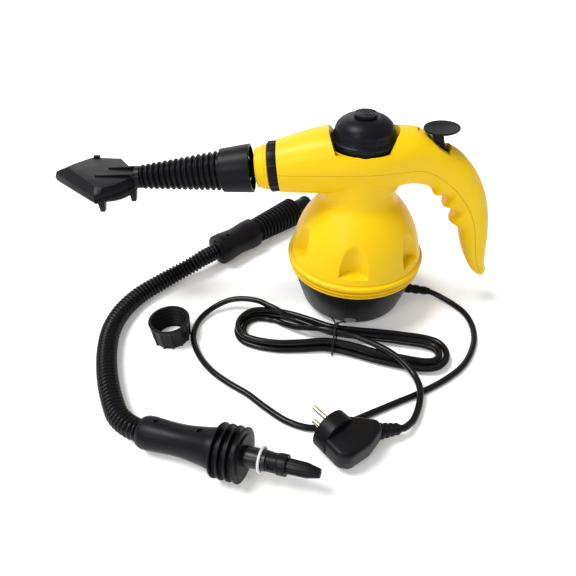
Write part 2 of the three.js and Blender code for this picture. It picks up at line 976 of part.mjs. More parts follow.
// An outline round the trigger's pivot, given in shares of the pad's height above it.
function aroundPivot(shares) {
  const [x, z] = trigger.pivot;
  const reach = trigger.padHeight - z;
  return shares.map(([backwards, upwards]) => [x + backwards * reach, z + upwards * reach]);
}

function buildHousing() {
  const outside = barrelAndHandle();
  const hollow = join(barrelAndHandleHollow(), cut(bellHollow(), ...scoopCutters(wall)));
  const whole = join(outside, cut(bellSolid(), ...scoopCutters(0)));
  const shell = cut(whole, hollow);

  const wellWall = shared(
    sleeve(well.radius + well.wall, well.lipRadius, well.floor - well.wall, body.top, well.sides),
    outside,
  );
  const notch = sidePlate(aroundPivot(notchShares), body.halfSpan);
  const notchBlock = shared(sidePlate(aroundPivot(notchBlockShares), body.halfSpan), outside);
  const upper = join(shell, wellWall, notchBlock, pinBosses(outside));
  const slotEnd = trigger.pivot[0] - trigger.slotBack;
  const slot = block(
    [slotEnd - trigger.slotLength, slotEnd],
    [-trigger.slotHalfWidth, trigger.slotHalfWidth],
    [trigger.pivot[1], body.top],
  );
  const dish = rod(trigger.dishRadius, trigger.padHeight - trigger.dishDepth, body.top, 14);
  dish.translate(trigger.dishPlace, 0, 0);
  const wellBore = rod(well.radius, well.floor, body.top, well.sides);
  const opened = cut(upper, wellBore, notch, slot, dish, pinBore());
  addPart(machine, "upper_housing", shared(opened, partingSide(1)), yellowPlastic);
  addPart(machine, "lower_housing", shared(shell, partingSide(-1)), yellowPlastic);
}

// Boiler, heater and wiring
function buildBoiler() {
  const { radius, bottom, split, shoulder, top, gasket, flange } = boiler;
  const inner = radius - boiler.wall;
  const rim = radius + flange;
  const lowerTop = split - gasket / 2 - gap / 2;
  const upperBottom = split + gasket / 2 + gap / 2;
  const lower = turned(
    [
      [0, bottom],
      [radius, bottom],
      [radius, lowerTop - boiler.wall],
      [rim, lowerTop - boiler.wall],
      [rim, lowerTop],
      [inner, lowerTop],
      [inner, bottom + boiler.wall],
      [0, bottom + boiler.wall],
    ],
    16,
  );
  addPart(machine, "boiler_lower", lower, aluminium);
  const upper = turned(
    [
      [inner, upperBottom],
      [rim, upperBottom],
      [rim, upperBottom + boiler.wall],
      [radius, upperBottom + boiler.wall],
      [radius, shoulder],
      [neck.outer + flange, top],
      [neck.inner, top],
      [neck.inner, top - boiler.wall],
      [neck.outer + flange - boiler.wall, top - boiler.wall],
      [inner, shoulder - boiler.wall / 2],
    ],
    16,
  );
  const inlet = rod(pipe.radius + gap, top - 2 * boiler.wall, top + overrun, 8).translate(pipe.inletPlace, 0, 0);
  addPart(machine, "boiler_upper", cut(upper, inlet), aluminium);
  const ring = sleeve(rim, inner, lowerTop + gap / 2, upperBottom - gap / 2, 16);
  addPart(machine, "boiler_gasket", ring, blackRubber);

  const coilProfile = Array.from({ length: 6 }, (_, i) => {
    const angle = (full * i) / 6;
    return [element.radius + element.wire * Math.cos(angle), element.wire * Math.sin(angle)];
  });
  const coil = addPart(machine, "heating_element", turned(coilProfile, 12), steel);
  coil.position.z = bottom + boiler.wall + element.wire + gap;

  const cutout = addPart(machine, "thermostat", rod(thermostat.radius, -thermostat.height, 0, 12), blackPlastic);
  cutout.position.z = bottom - gap;

  const link = alongX(rod(fuse.radius, -fuse.length / 2, fuse.length / 2, 10));
  const fuseLink = addPart(machine, "thermal_fuse", link, whitePlastic);
  fuseLink.position.set(0, -fuse.place, bottom - gap - fuse.radius);

  const floorTop = base.underside + base.floor;
  const blockBottom = floorTop + gap;
  const clampFrom = baseRadiusAt(relief.height) - clamp.inset;
  const terminalTo = clampFrom - terminal.room;
  const terminalFrom = terminalTo - terminal.length;
  const terminals = block(
    [terminalFrom, terminalTo],
    [relief.y - terminal.width / 2, relief.y + terminal.width / 2],
    [blockBottom, blockBottom + terminal.height],
  );
  const wireHole = alongX(rod(terminal.hole, terminalFrom - overrun, terminalTo + overrun, 8));
  wireHole.translate(0, relief.y, blockBottom + terminal.height / 2);
  addPart(machine, "terminal_block", cut(terminals, wireHole), whitePlastic);

  const clampTop = relief.height + clamp.height;
  const bar = block(
    [clampFrom, clampFrom + clamp.length],
    [relief.y - clamp.halfWidth, relief.y + clamp.halfWidth],
    [blockBottom, clampTop],
  );
  const seat = alongX(rod(clamp.bore, clampFrom - overrun, clampFrom + clamp.length + overrun, 8));
  const strap = cut(bar, seat.translate(0, relief.y, relief.height - clamp.seatDrop));
  addPart(machine, "cord_clamp", strap, whitePlastic);
}

// Filler neck and cap
function buildCap() {
  addPart(machine, "filler_neck", sleeve(neck.outer, neck.inner, neck.bottom, neckTop, 16), brass);

  const collarShape = turned(
    [
      [collar.inner, collarTop - wall],
      [collar.inner, collarBottom],
      [collar.outer, collarBottom],
      [collar.outer, collarTop],
      [collar.outer - wall, collarTop],
      [collar.outer - wall, collarTop - wall],
    ],
    18,
  );
  addPart(machine, "filler_collar", collarShape, blackPlastic);

  const sealTop = neckTop + gap + seal.height;
  addPart(machine, "cap_gasket", sleeve(seal.outer, plug.radius + gap, neckTop + gap, sealTop, 16), blackRubber);

  const stopperSeat = sealTop + gap;
  const stopper = turned(
    [
      [0, neckTop - plug.depth],
      [plug.radius, neckTop - plug.depth],
      [plug.radius, stopperSeat],
      [plug.flangeRadius, stopperSeat],
      [plug.flangeRadius, plugFlangeTop],
      [plug.stemRadius, plugFlangeTop],
      [plug.stemRadius, plugFlangeTop + plug.stemHeight],
      [0, plugFlangeTop + plug.stemHeight],
    ],
    14,
  );
  addPart(machine, "cap_plug", stopper, blackPlastic);

  addPart(machine, "cap_spring", spring(capSpring, plugFlangeTop + gap, springTop), steel);

  const underDome = discSeat - cap.wall;
  const dome = cap.domeShares.map(([out, up]) => [out * cap.skirtRadius, flangeTop + up * cap.domeHeight]);
  const innerDome = dome.filter((_, i) => i % 2 === 1).map(([radius, z]) => [radius - cap.wall, z - cap.wall / 2]);
  const shell = turned(
    [
      [cap.skirtRadius - cap.wall, skirtBottom],
      [cap.skirtRadius, skirtBottom],
      [cap.skirtRadius, flangeBottom],
      [cap.flangeRadius, flangeBottom],
      [cap.flangeRadius, flangeTop],
      ...dome,
      [cap.discRadius + gap, discSeat],
      [cap.discRadius + gap, discSeat - gap],
      [cap.hub, discSeat - gap],
      [cap.hub, springTop + gap],
      [cap.hub + cap.wall, springTop + gap],
      [cap.hub + cap.wall, underDome - cap.wall],
      ...innerDome.reverse(),
      [cap.skirtRadius - cap.wall, flangeTop - cap.wall],
    ],
    cap.sides,
  );
  addPart(machine, "safety_cap", shell, blackPlastic);
  addPart(machine, "cap_disc", capDisc(), blackPlastic);
}

// The disc on the cap carries plain concentric rings.
function capDisc() {
  const profile = [[0, discSeat]];
  profile.push([cap.discRadius, discSeat], [cap.discRadius, discTop]);
  const step = cap.discRadius / (2 * cap.rings + 1);
  for (let i = 0; i < cap.rings; i += 1) {
    const outer = cap.discRadius - (2 * i + 1) * step;
    profile.push([outer, discTop], [outer, discTop - cap.ringDepth]);
    profile.push([outer - step, discTop - cap.ringDepth], [outer - step, discTop]);
  }
  profile.push([0, discTop]);
  return turned(profile, 14);
}

// Trigger, valve and steam pipes
function buildTrigger() {
  const [x, z] = trigger.pivot;
  const across = (radius, reach) => rod(radius, -reach, reach, 10).rotateX(quarter).translate(x, 0, z);
  const pad = turned(
    [
      [0, -trigger.padThickness],
      [trigger.padRadius, -trigger.padThickness],
      [trigger.padRadius, -trigger.padEdge],
      [trigger.padRadius - trigger.padEdge, 0],
      [0, 0],
    ],
    trigger.padSides,
  );
  pad.rotateY(-trigger.padTilt).translate(trigger.padPlace, 0, trigger.padHeight);
  const stem = sidePlate(aroundPivot(stemShares), trigger.stemHalfWidth);
  const hub = across(trigger.hub, trigger.stemHalfWidth);
  const lever = cut(join(pad, stem, hub), across(pin.radius + gap, trigger.hub * 2));
  addPart(machine, "trigger", lever, blackPlastic);
  addPart(machine, "trigger_pin", across(pin.radius, pin.length / 2), steel);
}

function inletRoute() {
  const [from, to] = [boiler.top - gap, valveHeight - valve.radius - pipe.portDrop];
  const reach = valve.front + pipe.portInset - pipe.inletPlace;
  return inletShares.map(
    ([out, up]) => new THREE.Vector3(pipe.inletPlace + out * reach, 0, from + up * (to - from)),
  );
}

function outletRoute() {
  const from = valve.front + pipe.portInset + pipe.portSpacing;
  const top = valveHeight - valve.radius - pipe.portDrop;
  const reach = nose.x + pipe.endInset - from;
  return outletShares.map(
    ([out, across, down]) => new THREE.Vector3(from + out * reach, across * pipe.sweep, top - down * pipe.sag),
  );
}

function buildValve() {
  const bored = cut(
    rod(valve.radius, valve.front, valve.rear, 14),
    rod(valve.bore, valve.rear - valve.boreDepth, valve.rear + overrun, 12),
    rod(valve.port, valve.front - overrun, valve.rear - valve.boreDepth + overrun, 8),
  );
  const bodyShape = alongX(bored).translate(0, 0, valveHeight);
  addPart(machine, "valve_body", bodyShape, brass);

  const stemFrom = valve.rear - plunger.stroke - plunger.headLength;
  const rodShape = join(
    rod(plunger.radius, stemFrom, stemFrom + plunger.length, 10),
    rod(plunger.headRadius, stemFrom, stemFrom + plunger.headLength, 10),
  );
  const plungerMesh = addPart(machine, "valve_plunger", alongX(rodShape), steel);
  plungerMesh.position.z = valveHeight;

  const coil = spring(valveSpring, valve.rear - valve.boreDepth + gap, stemFrom - plunger.stroke - gap);
  const springMesh = addPart(machine, "valve_spring", alongX(coil), steel);
  springMesh.position.z = valveHeight;

  addPart(machine, "steam_pipe_in", tubeAlong(inletRoute(), pipe.radius, pipe.sides, pipe.inletSteps), steel);
  addPart(machine, "steam_pipe_out", tubeAlong(outletRoute(), pipe.radius, pipe.sides, pipe.outletSteps), steel);
}

// Nose of the barrel and what it carries
function notchedRing({ outer, inner, from, to, notches, notch }) {
  const count = notches * 4;
  const outline = Array.from({ length: count }, (_, i) => {
    const angle = (full * i) / count;
    const radius = i % 4 < 2 ? outer : outer - notch;
    return [radius * Math.cos(angle), radius * Math.sin(angle)];
  });
  return cut(plate(outline, from, to), rod(inner, from - overrun, to + overrun, 20));
}

function noseTipShape() {
  const profile = [
    [noseTip.bore, noseTip.flangeFrom],
    [noseTip.flangeRadius, noseTip.flangeFrom],
    [noseTip.flangeRadius, -gap],
    [noseTip.seatRadius, gap],
    [noseTip.seatRadius, noseTip.stepFrom],
  ];
  noseTip.threadShares.forEach((share, i) => {
    const radius = share * noseTip.threadRadius;
    const from = noseTip.stepFrom + i * noseTip.threadPitch;
    profile.push([radius, from], [radius, from + noseTip.threadPitch * ribShare]);
    profile.push([radius - noseTip.threadDepth, from + noseTip.threadPitch]);
  });
  profile.push([noseTip.bore, noseTip.end]);
  return turned(profile, 14);
}

function buildNose(front) {
  addPart(front, "nose_tip", againstX(noseTipShape()), yellowPlastic);
  addPart(front, "lock_ring", againstX(notchedRing(lockRing)), blackPlastic);
  const spoutProfile = [
    [spout.bore, spout.from],
    [spout.flangeRadius, spout.from],
    [spout.flangeRadius, spout.flangeTo],
    [spout.radius, spout.flangeTo],
    [spout.radius, spout.end],
    [spout.bore, spout.end],
  ];
  addPart(front, "steam_spout", againstX(turned(spoutProfile, 14)), blackPlastic);
  const ring = sleeve(spoutRing.outer, spout.radius + gap, spoutRing.from, spoutRing.to, 14);
  addPart(front, "spout_ring", againstX(ring), greyPlastic);
}

function nozzleShape() {
  const profile = [
    [nozzle.mouthBore, nozzle.mouth],
    [nozzle.mouthRadius, nozzle.mouth],
    [nozzle.collarRadius, nozzle.collarEnd],
    [nozzle.ribFirst - nozzle.ribDepth, nozzle.collarEnd],
  ];
  for (let i = 0; i < nozzle.ribCount; i += 1) {
    const share = i / (nozzle.ribCount - 1);
    const radius = nozzle.ribFirst + (nozzle.ribLast - nozzle.ribFirst) * share;
    const from = nozzle.ribFrom + i * nozzle.ribPitch;
    profile.push([radius - nozzle.ribDepth, from], [radius, from + nozzle.ribPitch / 2]);
  }
  profile.push(
    [nozzle.endRadius, nozzle.end],
    [nozzle.bore, nozzle.end],
    [nozzle.bore, nozzle.sleeveEnd],
    [nozzle.sleeve, nozzle.sleeveEnd],
    [nozzle.sleeve, nozzle.mouth + nozzle.mouthDepth],
    [nozzle.mouthBore, nozzle.mouth + nozzle.mouthDepth],
  );
  return againstX(turned(profile, nozzle.sides));
}

// A ring round the head at a height, part of the way from the plan of its lip to that of its top.
function headRing(share, height) {
  return head.lipShares.map(([out, across], i) => {
    const [topOut, topAcross] = head.topShares[i];
    const x = -(out + (topOut - out) * share) * head.length;
    return new THREE.Vector3(x, (across + (topAcross - across) * share) * head.halfWidth, height);
  });
}

function headPlace([out, across]) {
  return [-out * head.length, across * head.halfWidth];
}

function headRib(place) {
  const [x, y] = headPlace(place);
  const outline = [
    [-head.from, head.seam + wall],
    [-head.from, head.ribHeight],
    [x, head.top + head.bandHeight],
    [x, head.seam + wall],
  ];
  return sidePlate(outline, head.ribHalfWidth).translate(0, y, 0);
}

function headHook(place) {
  const [x, y] = headPlace(place);
  const outline = [
    [x + head.hookLength / 2, head.lip + wall],
    [x - head.hookLength / 2, head.lip + wall],
    [x - head.hookLength / 2, head.hookBottom],
    [x, head.hookBottom],
  ];
  return sidePlate(outline, head.hookWidth / 2).translate(0, y, 0);
}

function buildHead(front) {
  const body = new THREE.Group();
  body.position.x = -nozzle.end;
  body.rotation.y = nose.tilt;
  front.add(body);

  const [clipX, clipY] = headPlace(head.clipShares);
  const clip = block(
    [clipX - head.clipLength, clipX],
    [clipY, clipY + head.clipWidth],
    [head.seam + wall, head.clipTop],
  );
  const upper = loft([
    headRing(0, head.seam),
    headRing(head.bandShare / 2, head.bandHeight),
    headRing(head.bandShare, head.bandHeight + gap),
    headRing(1, head.top),
  ]);
  const cover = join(upper.translate(-head.from, 0, 0), ...head.ribShares.map(headRib), clip);
  addPart(body, "head_cover", cover, blackPlastic);

  const bowl = turned(
    [
      [0, head.bowlBottom],
      [head.bowlRadius - head.bowlEdge, head.bowlBottom],
      [head.bowlRadius, head.bowlRim],
      [head.bowlRadius, head.lip + wall],
      [0, head.lip + wall],
    ],
    20,
  ).translate(-head.bowlPlace, 0, 0);
  const lower = loft([headRing(0, head.lip), headRing(0, head.seam - gap)]).translate(-head.from, 0, 0);
  const spigot = againstX(rod(head.spigotRadius, -head.spigotLength, head.bowlEdge, 16)).rotateY(-nose.tilt);
  const above = block(
    [-head.bowlPlace, -head.from / 2],
    [-head.bowlRadius, head.bowlRadius],
    [head.seam - gap, head.bowlRadius],
  );
  const shape = join(lower, bowl, ...head.hookShares.map(headHook), cut(spigot, above));
  addPart(body, "head_base", shape, blackPlastic);
}

// Power lead
function smooth(value) {
  const share = Math.min(Math.max(value, 0), 1);
  return share * share * (3 - 2 * share);
}

// How much the loops are drawn in at a place along the hank: one at the waist, none at the ends.
function pinchAt(u) {
  return 1 - smooth(Math.abs(u) / (u < 0 ? hank.waistLeft : hank.waistRight));
}

function runHalfWidth(u) {
  const open = u < 0 ? hank.leftHalfWidth : hank.rightHalfWidth;
  return open + (hank.waistHalfWidth - open) * pinchAt(u);
}

// A point of the hank: along its length, across it and up.
function hankPoint(along, across, height) {
  const c = Math.cos(hank.turn);
  const s = Math.sin(hank.turn);
  const [x, y] = hank.centre;
  return new THREE.Vector3(x + along * c - across * s, y + along * s + across * c, height);
}

// The hank's route: it starts on the far run, spirals out on the upper layer, goes down to the lower layer
// along a run half-way through, and spirals in again. Each half turn is one run and the end that follows it.
function hankRoute() {
  const points = [];
  const endSteps = Math.round(hank.stepsPerLoop * hank.endShare);
  const runSteps = hank.stepsPerLoop / 2 - endSteps;
  const push = (turns, u, side, angle) => {
    const middle = hank.loops / 2;
    const offset = hank.pitch * (middle - Math.abs(turns - middle));
    const climb = smooth((turns - middle) * hank.climbRate + 1 / 2);
    const height = hank.rest + hank.layerStep * (1 - climb) + hank.lift * pinchAt(u);
    const width = runHalfWidth(u) + offset;
    points.push(hankPoint(u + side * width * Math.sin(angle), side * width * Math.cos(angle), height));
  };
  for (let h = 0; h < hank.loops * 2; h += 1) {
    const side = h % 2 === 0 ? 1 : -1;
    const to = side > 0 ? hank.rightReach : -hank.leftReach;
    const open = side > 0 ? -hank.leftReach : hank.rightReach;
    const from = h === 0 ? hank.startPlace : open;
    for (let i = 0; i < runSteps; i += 1) {
      push((h + (i / runSteps) * hank.runShare) / 2, from + ((to - from) * i) / runSteps, side, 0);
    }
    for (let i = 0; i < endSteps; i += 1) {
      const share = i / endSteps;
      push((h + hank.runShare + share * (1 - hank.runShare)) / 2, to, side, half * share);
    }
  }
  push(hank.loops, -hank.leftReach, 1, 0);
  push(hank.loops, -hank.leftReach + 2 * cord.radius, 1, 0);
  return points;
}

// The least gap of a tube to itself, measured on points of its centreline over two diameters apart along it.
function leastGap(points, radius) {
  const curve = new THREE.CatmullRomCurve3(points);
  const length = curve.getLength();
  const count = Math.ceil(length / radius);
  const spots = curve.getSpacedPoints(count);
  const skip = Math.ceil((6 * radius) / (length / count));
  let least = Infinity;
  for (let i = 0; i < spots.length; i += 1) {
    for (let j = i + skip; j < spots.length; j += 1) least = Math.min(least, spots[i].distanceTo(spots[j]));
  }
  return least - 2 * radius;
}

// The point a distance before or after the end of a route, on the line of its last step.
function beyond(end, before, distance) {
  return end.clone().addScaledVector(end.clone().sub(before).normalize(), distance);
}

function twistTie() {
  const count = tie.inside.length;
  const middleHeight = tie.inside.reduce((sum, [, z]) => sum + z / count, 0);
  const outside = tie.inside.map(([x, z]) => {
    const away = Math.hypot(x, z - middleHeight);
    const grow = (away + tie.thickness) / away;
    return [x * grow, middleHeight + (z - middleHeight) * grow];
  });
  const band = cut(
    sidePlate(outside, tie.width / 2),
    sidePlate(tie.inside, tie.width / 2 + overrun),
  );
  const points = tie.tail.map(([x, z, y]) => new THREE.Vector3(x, y, z));
  const tail = tubeAlong(points, tie.tailRadius, tie.tailSides, tie.tailSteps);
  return join(band, tail).rotateZ(hank.turn + quarter).translate(hank.centre[0], hank.centre[1], 0);
}

function plugBody() {
  const { centre, turn, outline, bodyHalfHeight, discRadius, discDepth, pinRadius, pinSpread, pinSeat } = plugShape;
  const disc = alongX(rod(discRadius, -discDepth, 0, 20));
  const grips = plate(outline, -bodyHalfHeight, bodyHalfHeight);
  const seats = [-1, 1].map((side) =>
    alongX(rod(pinRadius + gap, -pinSeat - gap, overrun, 8)).translate(0, 0, side * pinSpread),
  );
  const placed = cut(join(disc, grips), ...seats).rotateZ(turn).translate(...centre);
  const cone = alongX(ribbedCone(plugRelief, -2 * plugRelief.thick, plugRelief.length));
  const tail = cone.rotateY(-plugRelief.drop).rotateZ(plugRelief.turn);
  return join(placed, tail.translate(...plugRelief.from));
}

function plugReliefEnd(extra) {
  const along = new THREE.Vector3(plugRelief.length + extra, 0, 0);
  along.applyEuler(new THREE.Euler(0, -plugRelief.drop, plugRelief.turn, "ZYX"));
  return along.add(new THREE.Vector3(...plugRelief.from));
}

function buildLead() {
  const route = hankRoute();
  console.log("hank: least gap to itself", leastGap(route, cord.radius).toFixed(2), "mm");
  const winding = tubeAlong(route, cord.radius, hank.sides, hank.loops * hank.stepsPerLoop);
  addPart(machine, "cord_hank", winding, blackRubber);

  const diameter = 2 * cord.radius;
  const leadEnd = [beyond(route[0], route[1], gap + diameter), beyond(route[0], route[1], gap)];
  const lead = [...vectors(leadRoute), ...leadEnd];
  addPart(machine, "cord_lead", tubeAlong(lead, cord.radius, cord.sides, cord.steps), blackRubber);

  const tail = [
    beyond(route.at(-1), route.at(-2), gap),
    beyond(route.at(-1), route.at(-2), gap + diameter),
    ...vectors(tailRoute),
    plugReliefEnd(gap + diameter / 2),
    plugReliefEnd(gap),
  ];
  addPart(machine, "cord_tail", tubeAlong(tail, cord.radius, cord.sides, cord.tailSteps), blackRubber);
  addPart(machine, "twist_tie", twistTie(), blackPlastic);

  addPart(machine, "plug_body", plugBody(), blackRubber);
  [-1, 1].forEach((side, i) => {
    const pinShape = alongX(rod(plugShape.pinRadius, -plugShape.pinSeat, plugShape.pinLength, 8));
    const mesh = addPart(machine, `plug_pin_${i + 1}`, pinShape.translate(0, 0, side * plugShape.pinSpread), steel);
    mesh.rotation.z = plugShape.turn;
    mesh.position.set(...plugShape.centre);
  });
}

// Hose set
function gripShape() {
  const profile = [[grip.inner, 0], [grip.first - grip.ribDepth, 0]];
  const pitch = grip.length / grip.ribs;
  for (let i = 0; i < grip.ribs; i += 1) {
    const radius = grip.first + ((grip.last - grip.first) * i) / (grip.ribs - 1);
    profile.push([radius, (i + 1 / 3) * pitch], [radius - grip.ribDepth, (i + 2 / 3) * pitch]);
  }
  profile.push([grip.neck, grip.length], [grip.neck, grip.neckEnd], [grip.inner, grip.neckEnd]);
  return alongX(turned(profile, grip.sides));
}

function couplingShell() {
  const { from, length, radius, waist, inner, lipRadius, lip, bore } = coupling;
  const end = from + length;
  const outline = turned(
    [
      [0, from],
      [radius, from],
      [radius, from + length / 6],
      [waist, from + length / 2],
      [radius, end - length / 6],
      [radius, end],
      [lipRadius, end],
      [lipRadius, end + lip],
      [0, end + lip],
    ],
    16,
  );
  const hollow = turned(
    [
      [0, from - overrun],
      [grip.neck + gap, from - overrun],
      [grip.neck + gap, from + wall],
      [inner, from + wall],
      [inner, end - wall],
      [bore, end - wall],
      [bore, end + lip + overrun],
      [0, end + lip + overrun],
    ],
    grip.sides,
  );
  return alongX(cut(outline, hollow));
}

// Upper or lower half of a shell that lies along X, split at its middle height.
function halfShell(shell, side, from, to, reach) {
  const heights = side > 0 ? [gap / 2, reach] : [-reach, -gap / 2];
  return shared(shell, block([from - overrun, to + overrun], [-reach, reach], heights));
}

function screwRecess(x, y, radius, top, depth) {
  return rod(radius, top - depth, top + overrun, 8).translate(x, y, 0);
}

function buildHoseLine() {
  const line = new THREE.Group();
  line.position.set(...hoseLine.start);
  line.rotation.z = hoseLine.turn;
  machine.add(line);

  const tube = turned(
    [
      [endTube.inner, -endTube.length],
      [endTube.lip, -endTube.length],
      [endTube.lip, endTube.lipLength - endTube.length],
      [endTube.outer, endTube.lipLength - endTube.length],
      [endTube.outer, -endTube.flangeLength - gap],
      [endTube.flange, -endTube.flangeLength - gap],
      [endTube.flange, -gap],
      [endTube.inner, -gap],
    ],
    14,
  );
  addPart(line, "hose_end_tube", alongX(tube), blackPlastic);
  addPart(line, "hose_grip", gripShape(), blackRubber);

  const shell = couplingShell();
  const to = coupling.from + coupling.length + coupling.lip;
  const reach = coupling.radius + overrun;
  const { holePlace, holeSide, hole, radius, holeDepth } = coupling;
  const recess = screwRecess(to - holePlace, holeSide, hole, radius, holeDepth);
  const upper = cut(halfShell(shell, 1, coupling.from, to, reach), recess);
  addPart(line, "coupling_upper", upper, blackPlastic);
  addPart(line, "coupling_lower", halfShell(shell, -1, coupling.from, to, reach), blackPlastic);
}

function alongHoseLine(distance) {
  const [x, y, z] = hoseLine.start;
  return new THREE.Vector3(x + distance * Math.cos(hoseLine.turn), y + distance * Math.sin(hoseLine.turn), z);
}

function alongGun(distance) {
  const along = new THREE.Vector3(distance, 0, 0);
  along.applyEuler(new THREE.Euler(0, -gun.rise, gun.turn, "ZYX"));
  return along.add(new THREE.Vector3(...gun.rear));
}

// A ribbed hose with a bore: each rib is a groove ring and a crest ring.
function ribbedHose() {
  const diameter = 2 * hose.radius;
  const start = coupling.from + coupling.length + coupling.lip + gap;
  const points = [
    alongHoseLine(start),
    alongHoseLine(start + diameter / 2),
    alongHoseLine(start + diameter),
    ...vectors(hoseRoute),
    alongGun(0),
    alongGun(diameter / 2),
    alongGun(diameter),
  ];
  const curve = new THREE.CatmullRomCurve3(points);
  const ribs = Math.round(curve.getLength() / hose.pitch);
  const up = new THREE.Vector3(0, 0, 1);
  const ringAt = (share, radius) => {
    const middle = curve.getPointAt(share);
    const ahead = curve.getTangentAt(share);
    const side = new THREE.Vector3().crossVectors(up, ahead).normalize();
    const rise = new THREE.Vector3().crossVectors(ahead, side);
    return Array.from({ length: hose.sides }, (_, i) => {
      const angle = (full * i) / hose.sides;
      return middle
        .clone()
        .addScaledVector(side, radius * Math.cos(angle))
        .addScaledVector(rise, radius * Math.sin(angle));
    });
  };
  const rings = [];
  for (let i = 0; i < ribs; i += 1) {
    rings.push(ringAt(i / ribs, hose.radius - hose.groove), ringAt((i + 1 / 2) / ribs, hose.radius));
  }
  rings.push(ringAt(1, hose.radius - hose.groove));
  for (let i = ribs; i > 0; i -= hose.boreEvery) rings.push(ringAt(i / ribs, hose.bore));
  rings.push(ringAt(0, hose.bore));
  return ringTube(rings);
}

// Rings joined one to the next, and the last one back to the first: a tube with an open bore.
function ringTube(rings) {
  const count = rings[0].length;
  const indices = [];
  rings.forEach((_, r) => {
    const row = r * count;
    const nextRow = ((r + 1) % rings.length) * count;
    for (let i = 0; i < count; i += 1) {
      const next = (i + 1) % count;
      indices.push(row + i, row + next, nextRow + i);
      indices.push(row + next, nextRow + next, nextRow + i);
    }
  });
  return skin(rings.flat(), indices);
}

function gunShell() {
  const profile = [[0, 0], ...gun.skin.slice(0, -1)];
  for (let i = 0; i < gun.discs; i += 1) {
    const from = gun.firstDisc + i * gun.discPitch;
    const root = gun.skin.at(-1)[0];
    profile.push([root, from], [gun.discRadius, from]);
    profile.push([gun.discRadius, from + gun.discThickness], [root, from + gun.discThickness]);
  }
  profile.push([gun.skin.at(-1)[0], gun.length], [0, gun.length]);
  const hollow = turned(
    [
      [0, -overrun],
      [gun.rearBore, -overrun],
      [gun.rearBore, gun.rearDepth],
      [gun.inner, gun.rearDepth + gun.wall],
      [gun.inner, gun.length - gun.wall],
      [gunSpout.radius + gap, gun.length - gun.wall],
      [gunSpout.radius + gap, gun.length + overrun],
      [0, gun.length + overrun],
    ],
    gun.innerSides,
  );
  return alongX(cut(turned(profile, 14), hollow));
}

function buildGun() {
  const body = new THREE.Group();
  body.position.set(...gun.rear);
  body.rotation.set(0, -gun.rise, gun.turn, "ZYX");
  machine.add(body);

  const shell = gunShell();
  const reach = gun.discRadius + overrun;
  const recesses = gun.holePlaces.map((x) => screwRecess(x, 0, gun.hole, gun.skin[0][0], gun.wall));
  const upper = cut(halfShell(shell, 1, 0, gun.length, reach), ...recesses);
  addPart(body, "gun_upper", upper, blackPlastic);
  addPart(body, "gun_lower", halfShell(shell, -1, 0, gun.length, reach), blackPlastic);

  const rootEnd = gun.length - gun.wall - gap;
  const neckEnd = jet.from - gap;
  const tube = turned(
    [
      [gunSpout.bore, rootEnd - gunSpout.rootLength],
      [gunSpout.rootRadius, rootEnd - gunSpout.rootLength],
      [gunSpout.rootRadius, rootEnd],
      [gunSpout.radius, rootEnd],
      [gunSpout.radius, neckEnd],
      [gunSpout.tipRadius, neckEnd],
      [gunSpout.tipRadius, neckEnd + gunSpout.tipLength],
      [gunSpout.bore, neckEnd + gunSpout.tipLength],
    ],
    gun.boreSides,
  );
  addPart(body, "gun_spout", alongX(tube), blackPlastic);

  const ringRadius = gunSpout.radius + gap + oRing.wire;
  const section = Array.from({ length: 6 }, (_, i) => {
    const angle = (full * i) / 6;
    return [ringRadius + oRing.wire * Math.cos(angle), oRing.place + oRing.wire * Math.sin(angle)];
  });
  addPart(body, "gun_o_ring", alongX(turned(section, 14)), whitePlastic);

  const socket = rod(gunSpout.tipRadius + gap, jet.from - overrun, neckEnd + gunSpout.tipLength + gap, gun.boreSides);
  const outlet = rod(jet.bore, jet.from, jet.end + overrun, 8);
  const cone = turned(
    [[0, jet.collarTo - overrun], [jet.rootRadius, jet.collarTo - overrun], [jet.tipRadius, jet.end], [0, jet.end]],
    jet.sides,
  );
  const tip = cut(join(rod(jet.collarRadius, jet.from, jet.collarTo, 14), cone), socket, outlet);
  addPart(body, "jet_nozzle", alongX(tip), blackPlastic);
}

// Ring nut with its inner thread rings
function buildNut() {
  const radiusAt = (z) => nut.bottomRadius + ((nut.topRadius - nut.bottomRadius) * z) / nut.height;
  const profile = [[radiusAt(0), 0], [radiusAt(nut.height), nut.height]];
  const pitch = nut.height / nut.threads;
  for (let i = nut.threads; i > 0; i -= 1) {
    const z = i * pitch;
    profile.push([radiusAt(z) - nut.wall, z], [radiusAt(z) - nut.wall - nut.threadDepth, z - pitch / 2]);
  }
  profile.push([radiusAt(0) - nut.wall, 0]);
  const mesh = addPart(machine, "ring_nut", turned(profile, 14), blackPlastic);
  mesh.position.set(nut.centre[0], nut.centre[1], 0);
}

const front = new THREE.Group();
front.position.set(nose.x, 0, nose.z);
front.rotation.y = -nose.tilt;
machine.add(front);

buildBase();
buildHousing();
buildBoiler();
buildCap();
buildTrigger();
buildValve();
buildNose(front);
addPart(front, "extension_nozzle", nozzleShape(), blackPlastic);
buildHead(front);
buildLead();
buildHoseLine();
addPart(machine, "ribbed_hose", ribbedHose(), blackRubber);
buildGun();
buildNut();

export default machine;
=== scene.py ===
"""A handheld steam cleaner with its nozzle and squeegee head, its power lead, a hose set and a ring nut.

Metres, +Z up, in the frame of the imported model. The origin is on the floor under the round base, the nozzle
points along -X and the handle hangs down on the +X side.
"""

